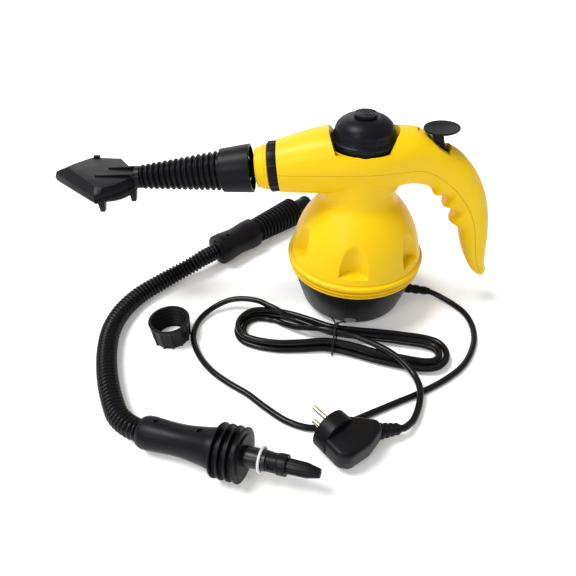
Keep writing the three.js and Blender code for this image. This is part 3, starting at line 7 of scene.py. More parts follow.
import math
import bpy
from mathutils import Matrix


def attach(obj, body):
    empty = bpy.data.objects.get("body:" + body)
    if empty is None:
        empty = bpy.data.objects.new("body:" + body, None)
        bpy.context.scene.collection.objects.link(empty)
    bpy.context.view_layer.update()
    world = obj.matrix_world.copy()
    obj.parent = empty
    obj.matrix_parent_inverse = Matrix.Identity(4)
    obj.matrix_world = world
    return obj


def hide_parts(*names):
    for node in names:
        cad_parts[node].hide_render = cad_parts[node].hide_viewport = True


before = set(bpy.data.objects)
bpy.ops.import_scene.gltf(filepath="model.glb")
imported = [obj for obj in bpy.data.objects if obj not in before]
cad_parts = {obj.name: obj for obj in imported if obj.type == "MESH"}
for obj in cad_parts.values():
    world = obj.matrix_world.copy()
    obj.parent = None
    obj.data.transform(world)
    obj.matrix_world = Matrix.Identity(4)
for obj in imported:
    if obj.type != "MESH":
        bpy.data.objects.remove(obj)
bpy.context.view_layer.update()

from types import SimpleNamespace as Sizes

import bmesh
import bpy
from mathutils import Matrix, Vector

full = 2 * math.pi
half = math.pi
quarter = math.pi / 2

# Clearances, roundings and side counts shared by the pieces
gap = 0.0003
overrun = 0.002
wall = 0.0025
edge = 0.0006
fine_edge = 0.0005
soft_edge = 0.0008
full_edge = 0.0012
bevel_steps = 4
fine_sides = 128
small_sides = 48

# Camera, as in the photograph
camera = Sizes(
    place=(-0.05019, -0.47372, 0.40007),
    yaw=math.radians(-3),
    pitch=math.radians(39.52),
    roll=-0.015,
    lens=32.13,
    sensor=36,
    near=0.01,
)

# Round base
base = Sizes(
    underside=0.003,
    bottom_radius=0.0547,
    top_radius=0.07,
    top=0.0536,
    chamfer=0.007,
    chamfer_in=0.0042,
    chamfer_up=0.0028,
    edge=0.0016,
    floor=0.003,
    pad_radius=0.01,
    lip_inset=0.0034,
    lip_height=0.005,
    sides=160,
)
foot = Sizes(radius=0.006, height=0.0032, place=0.042, seat=0.0042, count=4)
lens = Sizes(
    width=0.013, height=0.007, centre=0.012, turn=math.radians(-4),
    depth=0.003, proud=0.0004, edge=0.0004,
)

# Bell: its three beads, then radius and height of its skin up to the neck
bell = Sizes(
    bottom=0.054,
    beads=[(0.0724, 0.054, 0.0572), (0.0732, 0.0584, 0.0618), (0.0742, 0.063, 0.0692)],
    groove=0.0028,
    skin=[
        (0.0708, 0.0715), (0.0674, 0.085), (0.0622, 0.101), (0.0544, 0.1156), (0.0462, 0.1266),
        (0.039, 0.135), (0.0362, 0.144), (0.0352, 0.171),
    ],
    sides=288,
    row=0.0012,
    fine_row=0.0003,
    fine_spans=[(0, 0.073), (0.0755, 0.082)],
    hollow_row=0.003,
    flare=0.005,
    flare_share=0.98,
    flare_from=0.01,
    barrel_under=(0.1432, 0.1505),
)
scoop = Sizes(
    count=6,
    turn=math.radians(-5),
    radius=0.016,
    place=0.0735,
    shelf=0.0775,
    shelf_radius=0.0684,
    shelf_slope=7,
    shelf_reach=0.01,
    side_margin=1.25,
    side_slope=3,
    soft=0.0014,
    shelf_soft=0.00224,
)

# Barrel and handle: top and bottom of each section in the XZ plane, and half of its width
body_sections = [
    ((-0.0846, 0.1921), (-0.0798, 0.1419), 0.0252),
    ((-0.057, 0.2011), (-0.057, 0.1424), 0.0293),
    ((-0.035, 0.2062), (-0.037, 0.143), 0.0325),
    ((-0.012, 0.2076), (-0.014, 0.144), 0.0355),
    ((0.012, 0.2076), (0.012, 0.146), 0.0355),
    ((0.032, 0.2068), (0.031, 0.15), 0.031),
    ((0.0502, 0.2062), (0.046, 0.1528), 0.026),
    ((0.066, 0.1995), (0.058, 0.152), 0.0225),
    ((0.0825, 0.1905), (0.068, 0.1486), 0.02),
    ((0.094, 0.184), (0.0757, 0.1408), 0.0186),
    ((0.108, 0.1705), (0.0878, 0.1355), 0.0178),
    ((0.1165, 0.1593), (0.0874, 0.128), 0.0176),
    ((0.1245, 0.1455), (0.0996, 0.1191), 0.0174),
    ((0.13, 0.133), (0.0978, 0.1094), 0.0172),
    ((0.1345, 0.1185), (0.1075, 0.0976), 0.017),
    ((0.1385, 0.101), (0.111, 0.0865), 0.0168),
    ((0.1411, 0.0827), (0.1155, 0.0741), 0.0164),
    ((0.1448, 0.055), (0.127, 0.052), 0.0154),
    ((0.1473, 0.0485), (0.133, 0.0446), 0.0144),
    ((0.1466, 0.0435), (0.1375, 0.0414), 0.0115),
    ((0.1448, 0.0406), (0.1416, 0.0399), 0.007),
]
finger_bumps = Sizes(
    places=[(0.0757, 0.1408), (0.0874, 0.128), (0.0978, 0.1094)],
    height=0.0022,
    width=0.0042,
)
body_ring = Sizes(
    sides=96, fullness=2.3, steps=7, hollow_steps=3, hollow_sides=48, width_step=0.01, skin_inset=0.0001,
)
parting = [
    (-0.11, 0.1676), (-0.082, 0.169), (-0.05, 0.1715), (-0.02, 0.1738), (0.018, 0.1756),
    (0.044, 0.1752), (0.0582, 0.1735), (0.0733, 0.166), (0.0911, 0.1518), (0.1064, 0.1343),
    (0.1185, 0.1117), (0.1253, 0.0861), (0.1315, 0.064), (0.138, 0.05), (0.144, 0.036), (0.15, 0.02),
]
body = Sizes(right=0.2, top=0.26, bottom=-0.02, half_span=0.09, seam=0.0003)
well = Sizes(radius=0.0332, wall=0.002, floor=0.178, lip_radius=0.024)
notch = Sizes(
    line=[
        (0.0485, 0.2064), (0.0545, 0.204), (0.0623, 0.199),
        (0.067, 0.1948), (0.074, 0.1896), (0.0808, 0.1856),
    ],
    wall_top=(0.0834, 0.192),
    under=[
        (0.0475, 0.206), (0.0475, 0.1986), (0.058, 0.1982), (0.0623, 0.196), (0.067, 0.1918),
        (0.074, 0.1865), (0.0808, 0.1826), (0.085, 0.182), (0.085, 0.192),
    ],
    slot=(0.0595, 0.0835),
    slot_half_width=0.007,
    dish_radius=0.0215,
    dish_place=0.071,
    dish_floor=0.2012,
)
saddle = [(-0.0345, 0.207), (-0.0275, 0.1915), (0.0225, 0.1915), (0.0305, 0.207)]

# Cap
cap = Sizes(
    skirt_radius=0.0314,
    skirt_bottom=0.1894,
    flange_radius=0.0324,
    flange_bottom=0.1946,
    flange_top=0.1976,
    dome=[
        (0.0306, 0.1988), (0.0299, 0.2028), (0.0288, 0.2064), (0.0268, 0.2107),
        (0.0236, 0.2141), (0.019, 0.2168), (0.0145, 0.218),
    ],
    disc_radius=0.011,
    disc_top=0.2215,
    disc_seat=0.2179,
    wall=0.0026,
    wall_drop=0.00208,
    rings=3,
    ring_depth=0.0006,
    panels=10,
    panel_depth=0.0007,
    panel_from=0.1992,
    panel_to=0.2075,
    panel_edges=(9, 900, 400),
)
neck = Sizes(outer=0.019, inner=0.0145, bottom=0.1216, top=0.186)
collar = Sizes(outer=0.0316, inner=0.0194, bottom=0.1783, top=0.1855)

# Trigger
trigger = Sizes(
    pivot=(0.086, 0.171),
    pad_radius=0.017,
    pad_place=0.072,
    pad_height=0.208,
    pad_tilt=math.radians(3.5),
    pad_thickness=0.0028,
    pad_shares=[(0, -1.2), (0.5, -1.14), (0.9, -0.9), (1, -0.5)],
    rim=0.0012,
    dish=0.0011,
    dish_share=(0.7, 0.75),
    hub=0.0055,
    hub_edge=0.0004,
    bore=0.0023,
    bore_reach=0.01,
    stem=[
        (0.0604, 0.2056), (0.0728, 0.2056), (0.077, 0.1914), (0.0786, 0.1846), (0.0835, 0.1785),
        (0.091, 0.171), (0.086, 0.166), (0.081, 0.171), (0.079, 0.177),
    ],
    stem_half_width=0.0055,
    stem_edge=0.001,
)

# Nose of the barrel: distances run outwards along its axis from its seat
nose = Sizes(x=-0.0822, z=0.167, tilt=math.radians(5.5))
nose_tip = Sizes(
    flange_radius=0.0216,
    flange_from=-0.004,
    seat_radius=0.0214,
    step_from=0.0096,
    thread_radii=[0.0228, 0.0222, 0.0212, 0.0202],
    thread_pitch=0.0032,
    thread_depth=0.0009,
    crest_share=0.55,
    root_share=0.75,
    bore=0.015,
    end=0.0226,
)
lock_ring = Sizes(
    outer=0.025, inner=0.0219, start=0.0005, to=0.0092,
    notches=16, notch=0.0009, notch_edges=(9, 1.2),
)
spout = Sizes(radius=0.0092, bore=0.004, start=0.012, end=0.066, flange_radius=0.0146, flange_to=0.0175)
spout_ring = Sizes(outer=0.0126, start=0.03, to=0.0335)
nozzle = Sizes(
    mouth=0.0273,
    mouth_radius=0.0242,
    collar_end=0.0577,
    collar_radius=0.0216,
    mouth_bore=0.0218,
    mouth_depth=0.024,
    sleeve=0.0096,
    sleeve_end=0.071,
    bore=0.007,
    rib_count=14,
    rib_from=0.0595,
    rib_pitch=0.0059,
    rib_depth=0.0026,
    rib_first=0.0198,
    rib_last=0.0124,
    rib_points=7,
    rib_fullness=0.8,
    rib_start=0.22,
    rib_span=0.66,
    end_radius=0.0112,
    end=0.1473,
)

# Squeegee head: distances out from the end of the nozzle and across it, and heights over the nozzle's end
head = Sizes(
    start=0.0009,
    lip_outline=[
        (0, -0.011), (0.006, -0.02), (0.014, -0.029), (0.025, -0.0375), (0.031, -0.0415), (0.089, 0.0065),
        (0.0905, 0.011), (0.083, 0.021), (0.058, 0.038), (0.025, 0.0355), (0.009, 0.014), (0, 0.011),
    ],
    top_outline=[
        (0, -0.009), (0.006, -0.0175), (0.013, -0.026), (0.024, -0.0335), (0.033, -0.029), (0.072, 0.008),
        (0.0745, 0.0115), (0.071, 0.018), (0.0565, 0.034), (0.024, 0.032), (0.008, 0.011), (0, 0.009),
    ],
    seam=-0.004,
    band=0.0006,
    band_share=0.3,
    top=0.0056,
    lip=-0.0085,
    bowl_place=0.029,
    bowl_radius=0.028,
    bowl_rim=-0.0125,
    bowl_bottom=-0.017,
    bowl_chamfer=0.006,
    bowl_edge=0.004,
    bowl_flare=0.0005,
    rib_half_width=0.0013,
    rib_height=0.0085,
    rib_back=0.001,
    rib_foot=0.004,
    rib_sink=0.0005,
    rib_tip=0.0014,
    rib_tip_share=0.96,
    lip_share=0.04,
    ribs=[(0.031, 0.0085), (0.04, -0.0085)],
    clip=((0.048, 0.0545), (0.0325, 0.0365), 0.0075),
    hooks=[(0.0295, -0.0275), (0.0035, -0.006)],
    hook_size=(0.0075, 0.009),
    hook_top=-0.0095,
    hook_bottom=-0.0235,
    hook_taper=0.62,
    spigot_radius=0.0067,
    spigot_length=0.018,
    spigot_reach=0.012,
    roof=((0, 0.02), (-0.01, 0.01), 0.01),
)

# Power lead
cord = Sizes(radius=0.00325, span_steps=10, bevel_steps=6)
relief = Sizes(
    start=0.0554, length=0.0376, y=0.003, height=0.0116, drop=0.005,
    thick=0.0062, thin=0.0049, ribs=4, groove=0.0009, depth=0.003, bore_depth=0.012,
)
lead_route = [
    (0.0924, 0.0015, 0.0064), (0.099, -0.0015, 0.0052), (0.108, -0.008, 0.0039), (0.118, -0.018, 0.00332),
    (0.127, -0.032, 0.00332), (0.131, -0.05, 0.00332), (0.129, -0.072, 0.00332), (0.121, -0.093, 0.00332),
    (0.108, -0.113, 0.00332), (0.088, -0.131, 0.00332), (0.06, -0.149, 0.00332), (0.036, -0.1615, 0.00332),
    (0.012, -0.174, 0.00332), (-0.009, -0.1846, 0.00332),
    (-0.028, -0.191, 0.00332), (-0.048, -0.193, 0.00332),
    (-0.068, -0.1865, 0.00332), (-0.09, -0.171, 0.00332),
    (-0.108, -0.156, 0.00332), (-0.128, -0.143, 0.00332),
    (-0.148, -0.127, 0.00332), (-0.165, -0.105, 0.00332), (-0.175, -0.079, 0.00332), (-0.173, -0.054, 0.004),
    (-0.16, -0.037, 0.0074), (-0.141, -0.029, 0.013), (-0.122, -0.0305, 0.0168), (-0.1054, -0.0356, 0.0178),
    (-0.0964, -0.0413, 0.0178), (-0.0882, -0.046, 0.0173),
    (-0.0808, -0.05, 0.0155), (-0.0734, -0.0535, 0.0124),
]
hank = Sizes(
    centre=(-0.021, -0.082),
    turn=math.radians(-11.4),
    loops=3,
    steps=24,
    pitch=0.0075,
    layer_step=0.0071,
    rest=0.00332,
    left_reach=0.084,
    right_reach=0.095,
    left_half_width=0.017,
    right_half_width=0.01,
    waist_half_width=0.0039,
    waist_left=0.06,
    waist_right=0.07,
    start_place=-0.04,
    lift=0.0016,
    climb_rate=3.3,
    run_share=0.62,
    end_share=0.2,
)
tie = Sizes(
    radius=0.0009,
    loop=[
        (-0.0196, 0.0026), (-0.017, 0.0011), (-0.006, 0.001),
        (0.006, 0.001), (0.017, 0.0011), (0.0196, 0.0026),
        (0.0198, 0.0075), (0.0165, 0.0145), (0.007, 0.0237),
        (-0.007, 0.0237), (-0.0165, 0.0145), (-0.0198, 0.0075),
    ],
    tails=[
        [(0.001, 0, 0.024), (0.004, 0.002, 0.0272), (0.008, 0.0052, 0.0282), (0.0124, 0.009, 0.0272)],
        [(-0.001, 0, 0.024), (0.002, -0.0022, 0.0286), (0.0046, -0.0062, 0.0294), (0.0062, -0.0094, 0.0276)],
    ],
    sides=10,
    span_steps=6,
    twists=3,
    twist_steps=8,
    twist_start=(-0.0012, 0.0251),
    twist_step=0.0001,
    twist_radius=0.00072,
)
tail_route = [
    (-0.0772, -0.0574, 0.004), (-0.0637, -0.0662, 0.008),
    (-0.0479, -0.074, 0.0148), (-0.0335, -0.0794, 0.0192),
    (-0.019, -0.0836, 0.0196), (-0.001, -0.089, 0.019), (0.018, -0.099, 0.018), (0.034, -0.11, 0.0174),
    (0.046, -0.1215, 0.015), (0.0545, -0.134, 0.012), (0.058, -0.148, 0.0106), (0.057, -0.16, 0.0084),
    (0.053, -0.173, 0.0074), (0.0465, -0.186, 0.0088), (0.039, -0.1946, 0.0114),
]
plug = Sizes(
    centre=(-0.031, -0.203, 0.0193),
    turn=math.radians(133),
    disc_radius=0.019,
    disc_depth=0.014,
    half_height=0.011,
    outline=[
        (-0.006, 0.017), (-0.006, -0.016), (-0.018, -0.026), (-0.027, -0.034),
        (-0.036, -0.03), (-0.04, -0.01), (-0.038, 0.012), (-0.03, 0.018),
    ],
    bevel=0.0042,
    groove=0.0007,
    disc_edge=0.00098,
    pin_radius=0.0024,
    pin_length=0.019,
    pin_seat=0.004,
    pin_spread=0.0095,
    pin_edge=0.0011,
)
plug_relief = Sizes(
    start=(0.009, -0.2034, 0.0146), turn=math.radians(14), rise=math.radians(-5),
    length=0.025, thick=0.008, thin=0.0054, ribs=5, groove=0.0013,
)

# Hose set: the end tube, grip and coupling lie on one line
hose_line = Sizes(start=(-0.074, 0.157, 0.0203), turn=math.radians(226.5))
end_tube = Sizes(
    outer=0.0124, lip=0.0134, lip_length=0.004, lip_slope=0.002, inner=0.01,
    length=0.027, flange=0.015, flange_length=0.003,
)
grip = Sizes(
    first=0.02, last=0.0166, ribs=12, length=0.07, rib_depth=0.0036,
    rib_crest=0.0009, rib_foot=0.00153, inner=0.01, neck=0.013, neck_end=0.08,
)
coupling = Sizes(
    start=0.076, length=0.059, radius=0.0194, waist=0.0178, inner=0.0148,
    lip_radius=0.013, lip=0.0034, bore=0.008, hole=0.0022, hole_depth=0.003,
    holes=[(0.018, 0.004), (0.034, -0.0135)], hole_slant=0.6,
)
hose = Sizes(
    radius=0.0104, groove=0.0022, bore=0.006, pitch=0.0046, sides=28, span_steps=24,
    rib_steps=8, rib_fullness=1.3, bore_steps=32,
)
hose_route = [
    (-0.191, 0.0346, 0.0186), (-0.214, 0.0185, 0.0126), (-0.234, -0.001, 0.0106), (-0.25, -0.022, 0.0103),
    (-0.261, -0.048, 0.0103), (-0.2645, -0.077, 0.0103), (-0.2605, -0.105, 0.0103), (-0.253, -0.131, 0.0103),
    (-0.2435, -0.155, 0.0103), (-0.2327, -0.1762, 0.0104),
    (-0.2218, -0.193, 0.0118), (-0.2062, -0.2054, 0.0144),
]

# Jet gun, along its own axis from its rear face
gun = Sizes(
    rear=(-0.194, -0.2105, 0.0157),
    turn=math.radians(-16.1),
    rise=math.radians(5.8),
    skin=[
        (0.0134, 0), (0.0148, 0.004), (0.015, 0.01), (0.014, 0.026),
        (0.014, 0.042), (0.016, 0.06), (0.0174, 0.069), (0.0176, 0.0746),
    ],
    length=0.099,
    wall=0.0024,
    rear_bore=0.0107,
    rear_depth=0.021,
    disc_radius=0.023,
    disc_thickness=0.0019,
    discs=4,
    first_disc=0.0746,
    disc_pitch=0.007,
    inner=0.0118,
    hole=0.0026,
    hole_depth=0.0026,
    hole_side=0.004,
    hole_places=[0.016, 0.058],
)
gun_spout = Sizes(
    radius=0.0085, bore=0.003, root_radius=0.0114, root_length=0.006,
    tip_radius=0.005, tip_length=0.009,
)
o_ring = Sizes(wire=0.0012, place=0.1135, steps=20)
jet = Sizes(
    collar_radius=0.0082, start=0.1185, collar_to=0.1355, step=0.009, step_length=0.0005, step_height=0.0007,
    sides=8, facet_share=0.09, root_radius=0.0066, shoulder_share=0.94, shoulder=0.011,
    tip_radius=0.004, tip_share=0.9, tip=0.001, end=0.163, bore=0.0015,
    windows=3, window_start=0.121, window_length=0.005, window_width=0.005,
    window_depth=0.0012, window_reach=0.004,
)

# Ring nut
nut = Sizes(
    centre=(-0.199, -0.077), bottom_radius=0.02, top_radius=0.022, height=0.026, wall=0.0024,
    threads=6, thread_depth=0.002, thread_steps=6, rows=16,
    grips=12, grip_height=0.0016, grip_share=0.3, grip_slope=0.16, grip_top=0.93, grip_fade=500, sides=192,
)

# Floor and lights: of each lamp its place, aim, size and power
stage = Sizes(
    size=12, tone=(0.93, 0.935, 0.94), uneven=1.01, mottling=0.8,
    roughness=0.9, highlight=0.2, glow=0.2, sky=0.42,
)
sun = Sizes(place=(-0.6, -0.05, 1.2), strength=2.8, spread=math.radians(24))
lamps = {
    "front": ((-0.9, -1.3, 1.1), (0, 0, 0.1), (0.5, 0.5), 7),
    "rim": ((-0.4, 1.3, 0.7), (0, 0, 0.12), (1.4, 0.6), 4),
}

# Light tone, dark tone, roughness, height of the grain and strength of the highlight
plastics = {
    "yellow_plastic": ((0.86, 0.56, 0.002), (0.82, 0.53, 0.002), 0.4, 0.03, 0.22),
    "black_plastic": ((0.006, 0.006, 0.0085), (0.0042, 0.0042, 0.006), 0.38, 0.09, 0.13),
    "black_gloss": ((0.008, 0.008, 0.009), (0.006, 0.006, 0.007), 0.32, 0.04, 0.3),
    "wet_rubber": ((0.005, 0.005, 0.0065), (0.0035, 0.0035, 0.0045), 0.24, 0.03, 0.2),
    "black_rubber": ((0.006, 0.006, 0.0075), (0.004, 0.004, 0.005), 0.4, 0.12, 0.13),
    "grey_plastic": ((0.3, 0.305, 0.315), (0.26, 0.265, 0.275), 0.4, 0.05, 0.5),
    "white_plastic": ((0.72, 0.73, 0.74), (0.64, 0.65, 0.66), 0.45, 0.05, 0.5),
}
# Light tone, dark tone and roughness
metals = {
    "aluminium": ((0.72, 0.73, 0.74), (0.6, 0.61, 0.62), 0.42),
    "brass": ((0.78, 0.57, 0.26), (0.66, 0.46, 0.19), 0.32),
    "steel": ((0.76, 0.755, 0.74), (0.66, 0.655, 0.64), 0.24),
}
# Scales of the textures, depth and strength of their relief, and how far they blend tones and gloss
texture = Sizes(
    mottling=9, smear=54, grain=1400, relief=0.0002,
    metal_grain=900, brushing=(1, 1, 14), metal_relief=0.0001, metal_strength=0.08,
    blend=(0.3, 0.7), smear_blend=(0.3, 0.75), sheen=(0.86, 1.16), metal_sheen=(0.8, 1.25),
)
# Finishes of the inner pieces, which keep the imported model's own meshes
inner_finish = {
    "aluminium": ["boiler_lower", "boiler_upper"],
    "black_plastic": ["thermostat", "cap_plug"],
    "black_rubber": ["boiler_gasket", "cap_gasket"],
    "brass": ["valve_body"],
    "steel": [
        "heating_element", "cap_spring", "trigger_pin", "valve_plunger", "valve_spring",
        "steam_pipe_in", "steam_pipe_out", "base_screw_1", "base_screw_2", "base_screw_3",
    ],
    "white_plastic": ["thermal_fuse", "terminal_block", "cord_clamp"],
}


# Curves

def catmull_rom(points, steps):
    """A smooth line through points with steps in each span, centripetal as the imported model's tubes are."""
    points = [Vector(p) for p in points]
    padded = [2 * points[0] - points[1], *points, 2 * points[-1] - points[-2]]
    line = []
    for i in range(1, len(padded) - 2):
        before, start, end, after = padded[i - 1 : i + 3]
        spans = ((before, start), (start, end), (end, after))
        first, middle, last = (math.sqrt((b - a).length) for a, b in spans)
        leave = (start - before) / first - (end - before) / (first + middle) + (end - start) / middle
        leave *= middle
        arrive = (end - start) / middle - (after - start) / (middle + last) + (after - end) / last
        arrive *= middle
        bend = 3 * (end - start) - 2 * leave - arrive
        curl = 2 * (start - end) + leave + arrive
        for k in range(steps):
            t = k / steps
            line.append(start + leave * t + bend * t ** 2 + curl * t ** 3)
    return [*line, points[-1]]


def length_of(points):
    return sum((b - a).length for a, b in zip(points, points[1:]))


def evenly(points, count):
    """The same line as count equal steps."""
    marks = [0.0]
    for a, b in zip(points, points[1:]):
        marks.append(marks[-1] + (b - a).length)
    spots = []
    i = 0
    for k in range(count + 1):
        mark = marks[-1] * k / count
        while i < len(marks) - 2 and marks[i + 1] < mark:
            i += 1
        share = (mark - marks[i]) / (marks[i + 1] - marks[i])
        spots.append(points[i].lerp(points[i + 1], min(share, 1)))
    return spots


def smooth_step(value):
    share = min(max(value, 0), 1)
    return share * share * (3 - 2 * share)


def share_of_step(angle, count):
    """How far an angle has come into one of count equal steps round the axis."""
    return (angle * count / full) % 1


def beyond(end, before, distance):
    """The point a distance past the end of a route, on the line of its last step."""
    return end + (end - before).normalized() * distance


def rod(radius, start, end):
    """The profile of a solid rod along Z."""
    return [(0, start), (radius, start), (radius, end), (0, end)]


def sleeve(inner, outer, start, end):
    """The profile of a ring along Z."""
    return [(inner, start), (outer, start), (outer, end), (inner, end)]


def stacked(inner, start, *steps):
    """The profile of cylinders that follow each other on one bore, each given by its radius and its end."""
    profile = [(inner, start)]
    for radius, end in steps:
        profile += [(radius, start), (radius, end)]
        start = end
    return [*profile, (inner, start)]


def rounded(profile, radius=edge, steps=bevel_steps, closed=False):
    """A profile whose corners are rounded, each by no more than a share of the sides that meet there."""
    limit_share = 0.45
    straight = math.radians(165)
    points = [Vector(p) for p in profile]
    count = len(points)
    result = []
    for i, point in enumerate(points):
        if not closed and i in (0, count - 1):
            result.append(point)
            continue
        to_before, to_after = points[i - 1] - point, points[(i + 1) % count] - point
        if to_before.length < gap / 10 or to_after.length < gap / 10:
            continue
        if to_before.angle(to_after) > straight:
            result.append(point)
            continue
        reach = min(radius, limit_share * to_before.length, limit_share * to_after.length)
        start = point + to_before.normalized() * reach
        end = point + to_after.normalized() * reach
        for k in range(steps + 1):
            t = k / steps
            result.append(start * (1 - t) ** 2 + point * 2 * t * (1 - t) + end * t ** 2)
    return result


# Meshes

def linked(name, data):
    """A new object that shows the data."""
    made = bpy.data.objects.new(name, data)
    bpy.context.scene.collection.objects.link(made)
    return made


def mesh_piece(name, points, faces):
    mesh = bpy.data.meshes.new(name)
    mesh.from_pydata([tuple(p) for p in points], [], faces)
    bm = bmesh.new()
    bm.from_mesh(mesh)
    bmesh.ops.remove_doubles(bm, verts=bm.verts, dist=gap / 1000)
    bmesh.ops.recalc_face_normals(bm, faces=bm.faces)
    bm.to_mesh(mesh)
    bm.free()
    return linked(name, mesh)


def smooth_by_angle(piece, degrees):
    mesh = piece.data
    mesh.polygons.foreach_set("use_smooth", [True] * len(mesh.polygons))
    bm = bmesh.new()
    bm.from_mesh(mesh)
    limit = math.radians(degrees)
    for line in bm.edges:
        line.smooth = len(line.link_faces) == 2 and line.calc_face_angle(half) < limit
    bm.to_mesh(mesh)
    bm.free()


def at(x=0, y=0, z=0):
    """A move by x, y and z."""
    return Matrix.Translation((x, y, z))


def about(axis, angle):
    """A turn about one of the axes."""
    return Matrix.Rotation(angle, 4, axis)


def placed(piece, matrix):
    piece.data.transform(matrix)
    if matrix.determinant() < 0:
        piece.data.flip_normals()
    return piece


def grid_faces(rows, columns, close_rows=False):
    faces = []
    for r in range(rows if close_rows else rows - 1):
        start, next_start = r * columns, (r + 1) % rows * columns
        for c in range(columns):
            next_c = (c + 1) % columns
            faces.append((start + c, start + next_c, next_start + next_c, next_start + c))
    return faces


def lathe(name, profile, sides=96, shape=None):
    """A closed solid turned about Z. A profile that ends on the axis is capped, any other closes on itself.
    shape(radius, height, angle) may change the radius at a point."""
    capped = profile[0][0] < gap / 10
    rows = profile[1:-1] if capped else profile
    points = []
    for radius, height in rows:
        for i in range(sides):
            angle = full * i / sides
            reach = shape(radius, height, angle) if shape else radius
            points.append((reach * math.cos(angle), reach * math.sin(angle), height))
    faces = grid_faces(len(rows), sides, close_rows=not capped)
    if capped:
        bottom = len(points)
        points += [(0, 0, profile[0][1]), (0, 0, profile[-1][1])]
        last = (len(rows) - 1) * sides
        for i in range(sides):
            faces.append((bottom, (i + 1) % sides, i))
            faces.append((bottom + 1, last + i, last + (i + 1) % sides))
    return mesh_piece(name, points, faces)


def loft(name, rings):
    """Rings of points, each with as many points, joined into one closed skin."""
    count = len(rings[0])
    points = [p for ring in rings for p in ring]
    faces = grid_faces(len(rings), count)
    faces.append(tuple(range(count)))
    faces.append(tuple((len(rings) - 1) * count + i for i in reversed(range(count))))
    return mesh_piece(name, points, faces)


def looped(name, rings):
    """Rings of points joined into one skin, the last ring to the first as well."""
    points = [p for ring in rings for p in ring]
    return mesh_piece(name, points, grid_faces(len(rings), len(rings[0]), close_rows=True))


def rings_along(line, radii, sides):
    """Round rings square to a smooth line."""
    rings = []
    side = Vector((0, 0, 1)).cross(line[1] - line[0])
    turns = [full * k / sides for k in range(sides)]
    for i, (middle, radius) in enumerate(zip(line, radii)):
        ahead = (line[min(i + 1, len(line) - 1)] - line[max(i - 1, 0)]).normalized()
        side = (side - ahead * side.dot(ahead)).normalized()
        rise = ahead.cross(side)
        rings.append([middle + (side * math.cos(turn) + rise * math.sin(turn)) * radius for turn in turns])
    return rings


def plate(name, outline, bottom, top):
    """An outline in the XY plane raised along Z."""
    return loft(name, [[(x, y, z) for x, y in outline] for z in (bottom, top)])


def side_plate(name, outline, half_width):
    """An outline in the XZ plane, as wide along Y as two half-widths."""
    return loft(name, [[(x, side * half_width, z) for x, z in outline] for side in (-1, 1)])


def block(name, xs, ys, zs):
    return plate(name, [(xs[0], ys[0]), (xs[1], ys[0]), (xs[1], ys[1]), (xs[0], ys[1])], *zs)


def apply_modifiers(piece):
    bpy.context.view_layer.update()
    depsgraph = bpy.context.evaluated_depsgraph_get()
    mesh = bpy.data.meshes.new_from_object(piece.evaluated_get(depsgraph))
    piece.modifiers.clear()
    old = piece.data
    piece.data = mesh
    bpy.data.meshes.remove(old)
    mesh.name = piece.name
    return piece


def soften(piece, width, segments=3, degrees=28):
    """Rounds the sharp edges of a piece."""
    bevel = piece.modifiers.new("bevel", "BEVEL")
    bevel.width = width
    bevel.segments = segments
    bevel.limit_method = "ANGLE"
    bevel.angle_limit = math.radians(degrees)
    return apply_modifiers(piece)


def combine(piece, operation, *tools):
    """piece joined with, cut by or kept inside the tools, which are used up."""
    for tool in tools:
        cutter = piece.modifiers.new("combine", "BOOLEAN")
        cutter.operation = operation
        cutter.solver = "MANIFOLD"
        cutter.object = tool
        apply_modifiers(piece)
        bpy.data.objects.remove(tool)
    return piece


def union(piece, *tools):
    return combine(piece, "UNION", *tools)


def cut(piece, *tools):
    return combine(piece, "DIFFERENCE", *tools)


def inside(piece, *tools):
    return combine(piece, "INTERSECT", *tools)


def merged(name, *pieces):
    """Separate solids kept as one piece."""
    bm = bmesh.new()
    for piece in pieces:
        bm.from_mesh(piece.data)
        bpy.data.objects.remove(piece)
    mesh = bpy.data.meshes.new(name)
    bm.to_mesh(mesh)
    bm.free()
    return linked(name, mesh)


def lying(start, turn, rise=0):
    """A frame at a start whose X axis is turned about Z and then rises."""
    return at(*start) @ about("Z", turn) @ about("Y", -rise)


# Frames of the pieces that lie at an angle
along_x = about("Y", quarter)
front_frame = at(nose.x, 0, nose.z) @ about("Y", -nose.tilt)
nose_axis = front_frame @ about("Y", -quarter)
nozzle_tip = front_frame @ at(-nozzle.end - head.start)
head_frame = at(*nozzle_tip.translation) @ Matrix.Scale(-1, 4, (1, 0, 0))
hose_line_frame = lying(hose_line.start, hose_line.turn)
gun_frame = lying(gun.rear, gun.turn, gun.rise)
plug_frame = lying(plug.centre, plug.turn)
plug_relief_frame = lying(plug_relief.start, plug_relief.turn, plug_relief.rise)
relief_turn = math.atan2(lead_route[0][1] - relief.y, lead_route[0][0] - relief.start)
relief_rise = math.atan2(-relief.drop, relief.length)
relief_frame = lying((relief.start, relief.y, relief.height), relief_turn, relief_rise)


# Materials

def node_material(name):
    material = bpy.data.materials.new(name)
    material.use_nodes = True
    nodes = material.node_tree.nodes
    return material, nodes, material.node_tree.links, nodes["Principled BSDF"]


def noise_node(nodes, links, scale, detail, roughness=0.55, stretch=(1, 1, 1)):
    place = nodes.new("ShaderNodeTexCoord")
    mapping = nodes.new("ShaderNodeMapping")
    mapping.inputs["Scale"].default_value = stretch
    cloud = nodes.new("ShaderNodeTexNoise")
    cloud.inputs["Scale"].default_value = scale
    cloud.inputs["Detail"].default_value = detail
    cloud.inputs["Roughness"].default_value = roughness
    links.new(place.outputs["Object"], mapping.inputs["Vector"])
    links.new(mapping.outputs["Vector"], cloud.inputs["Vector"])
    return cloud


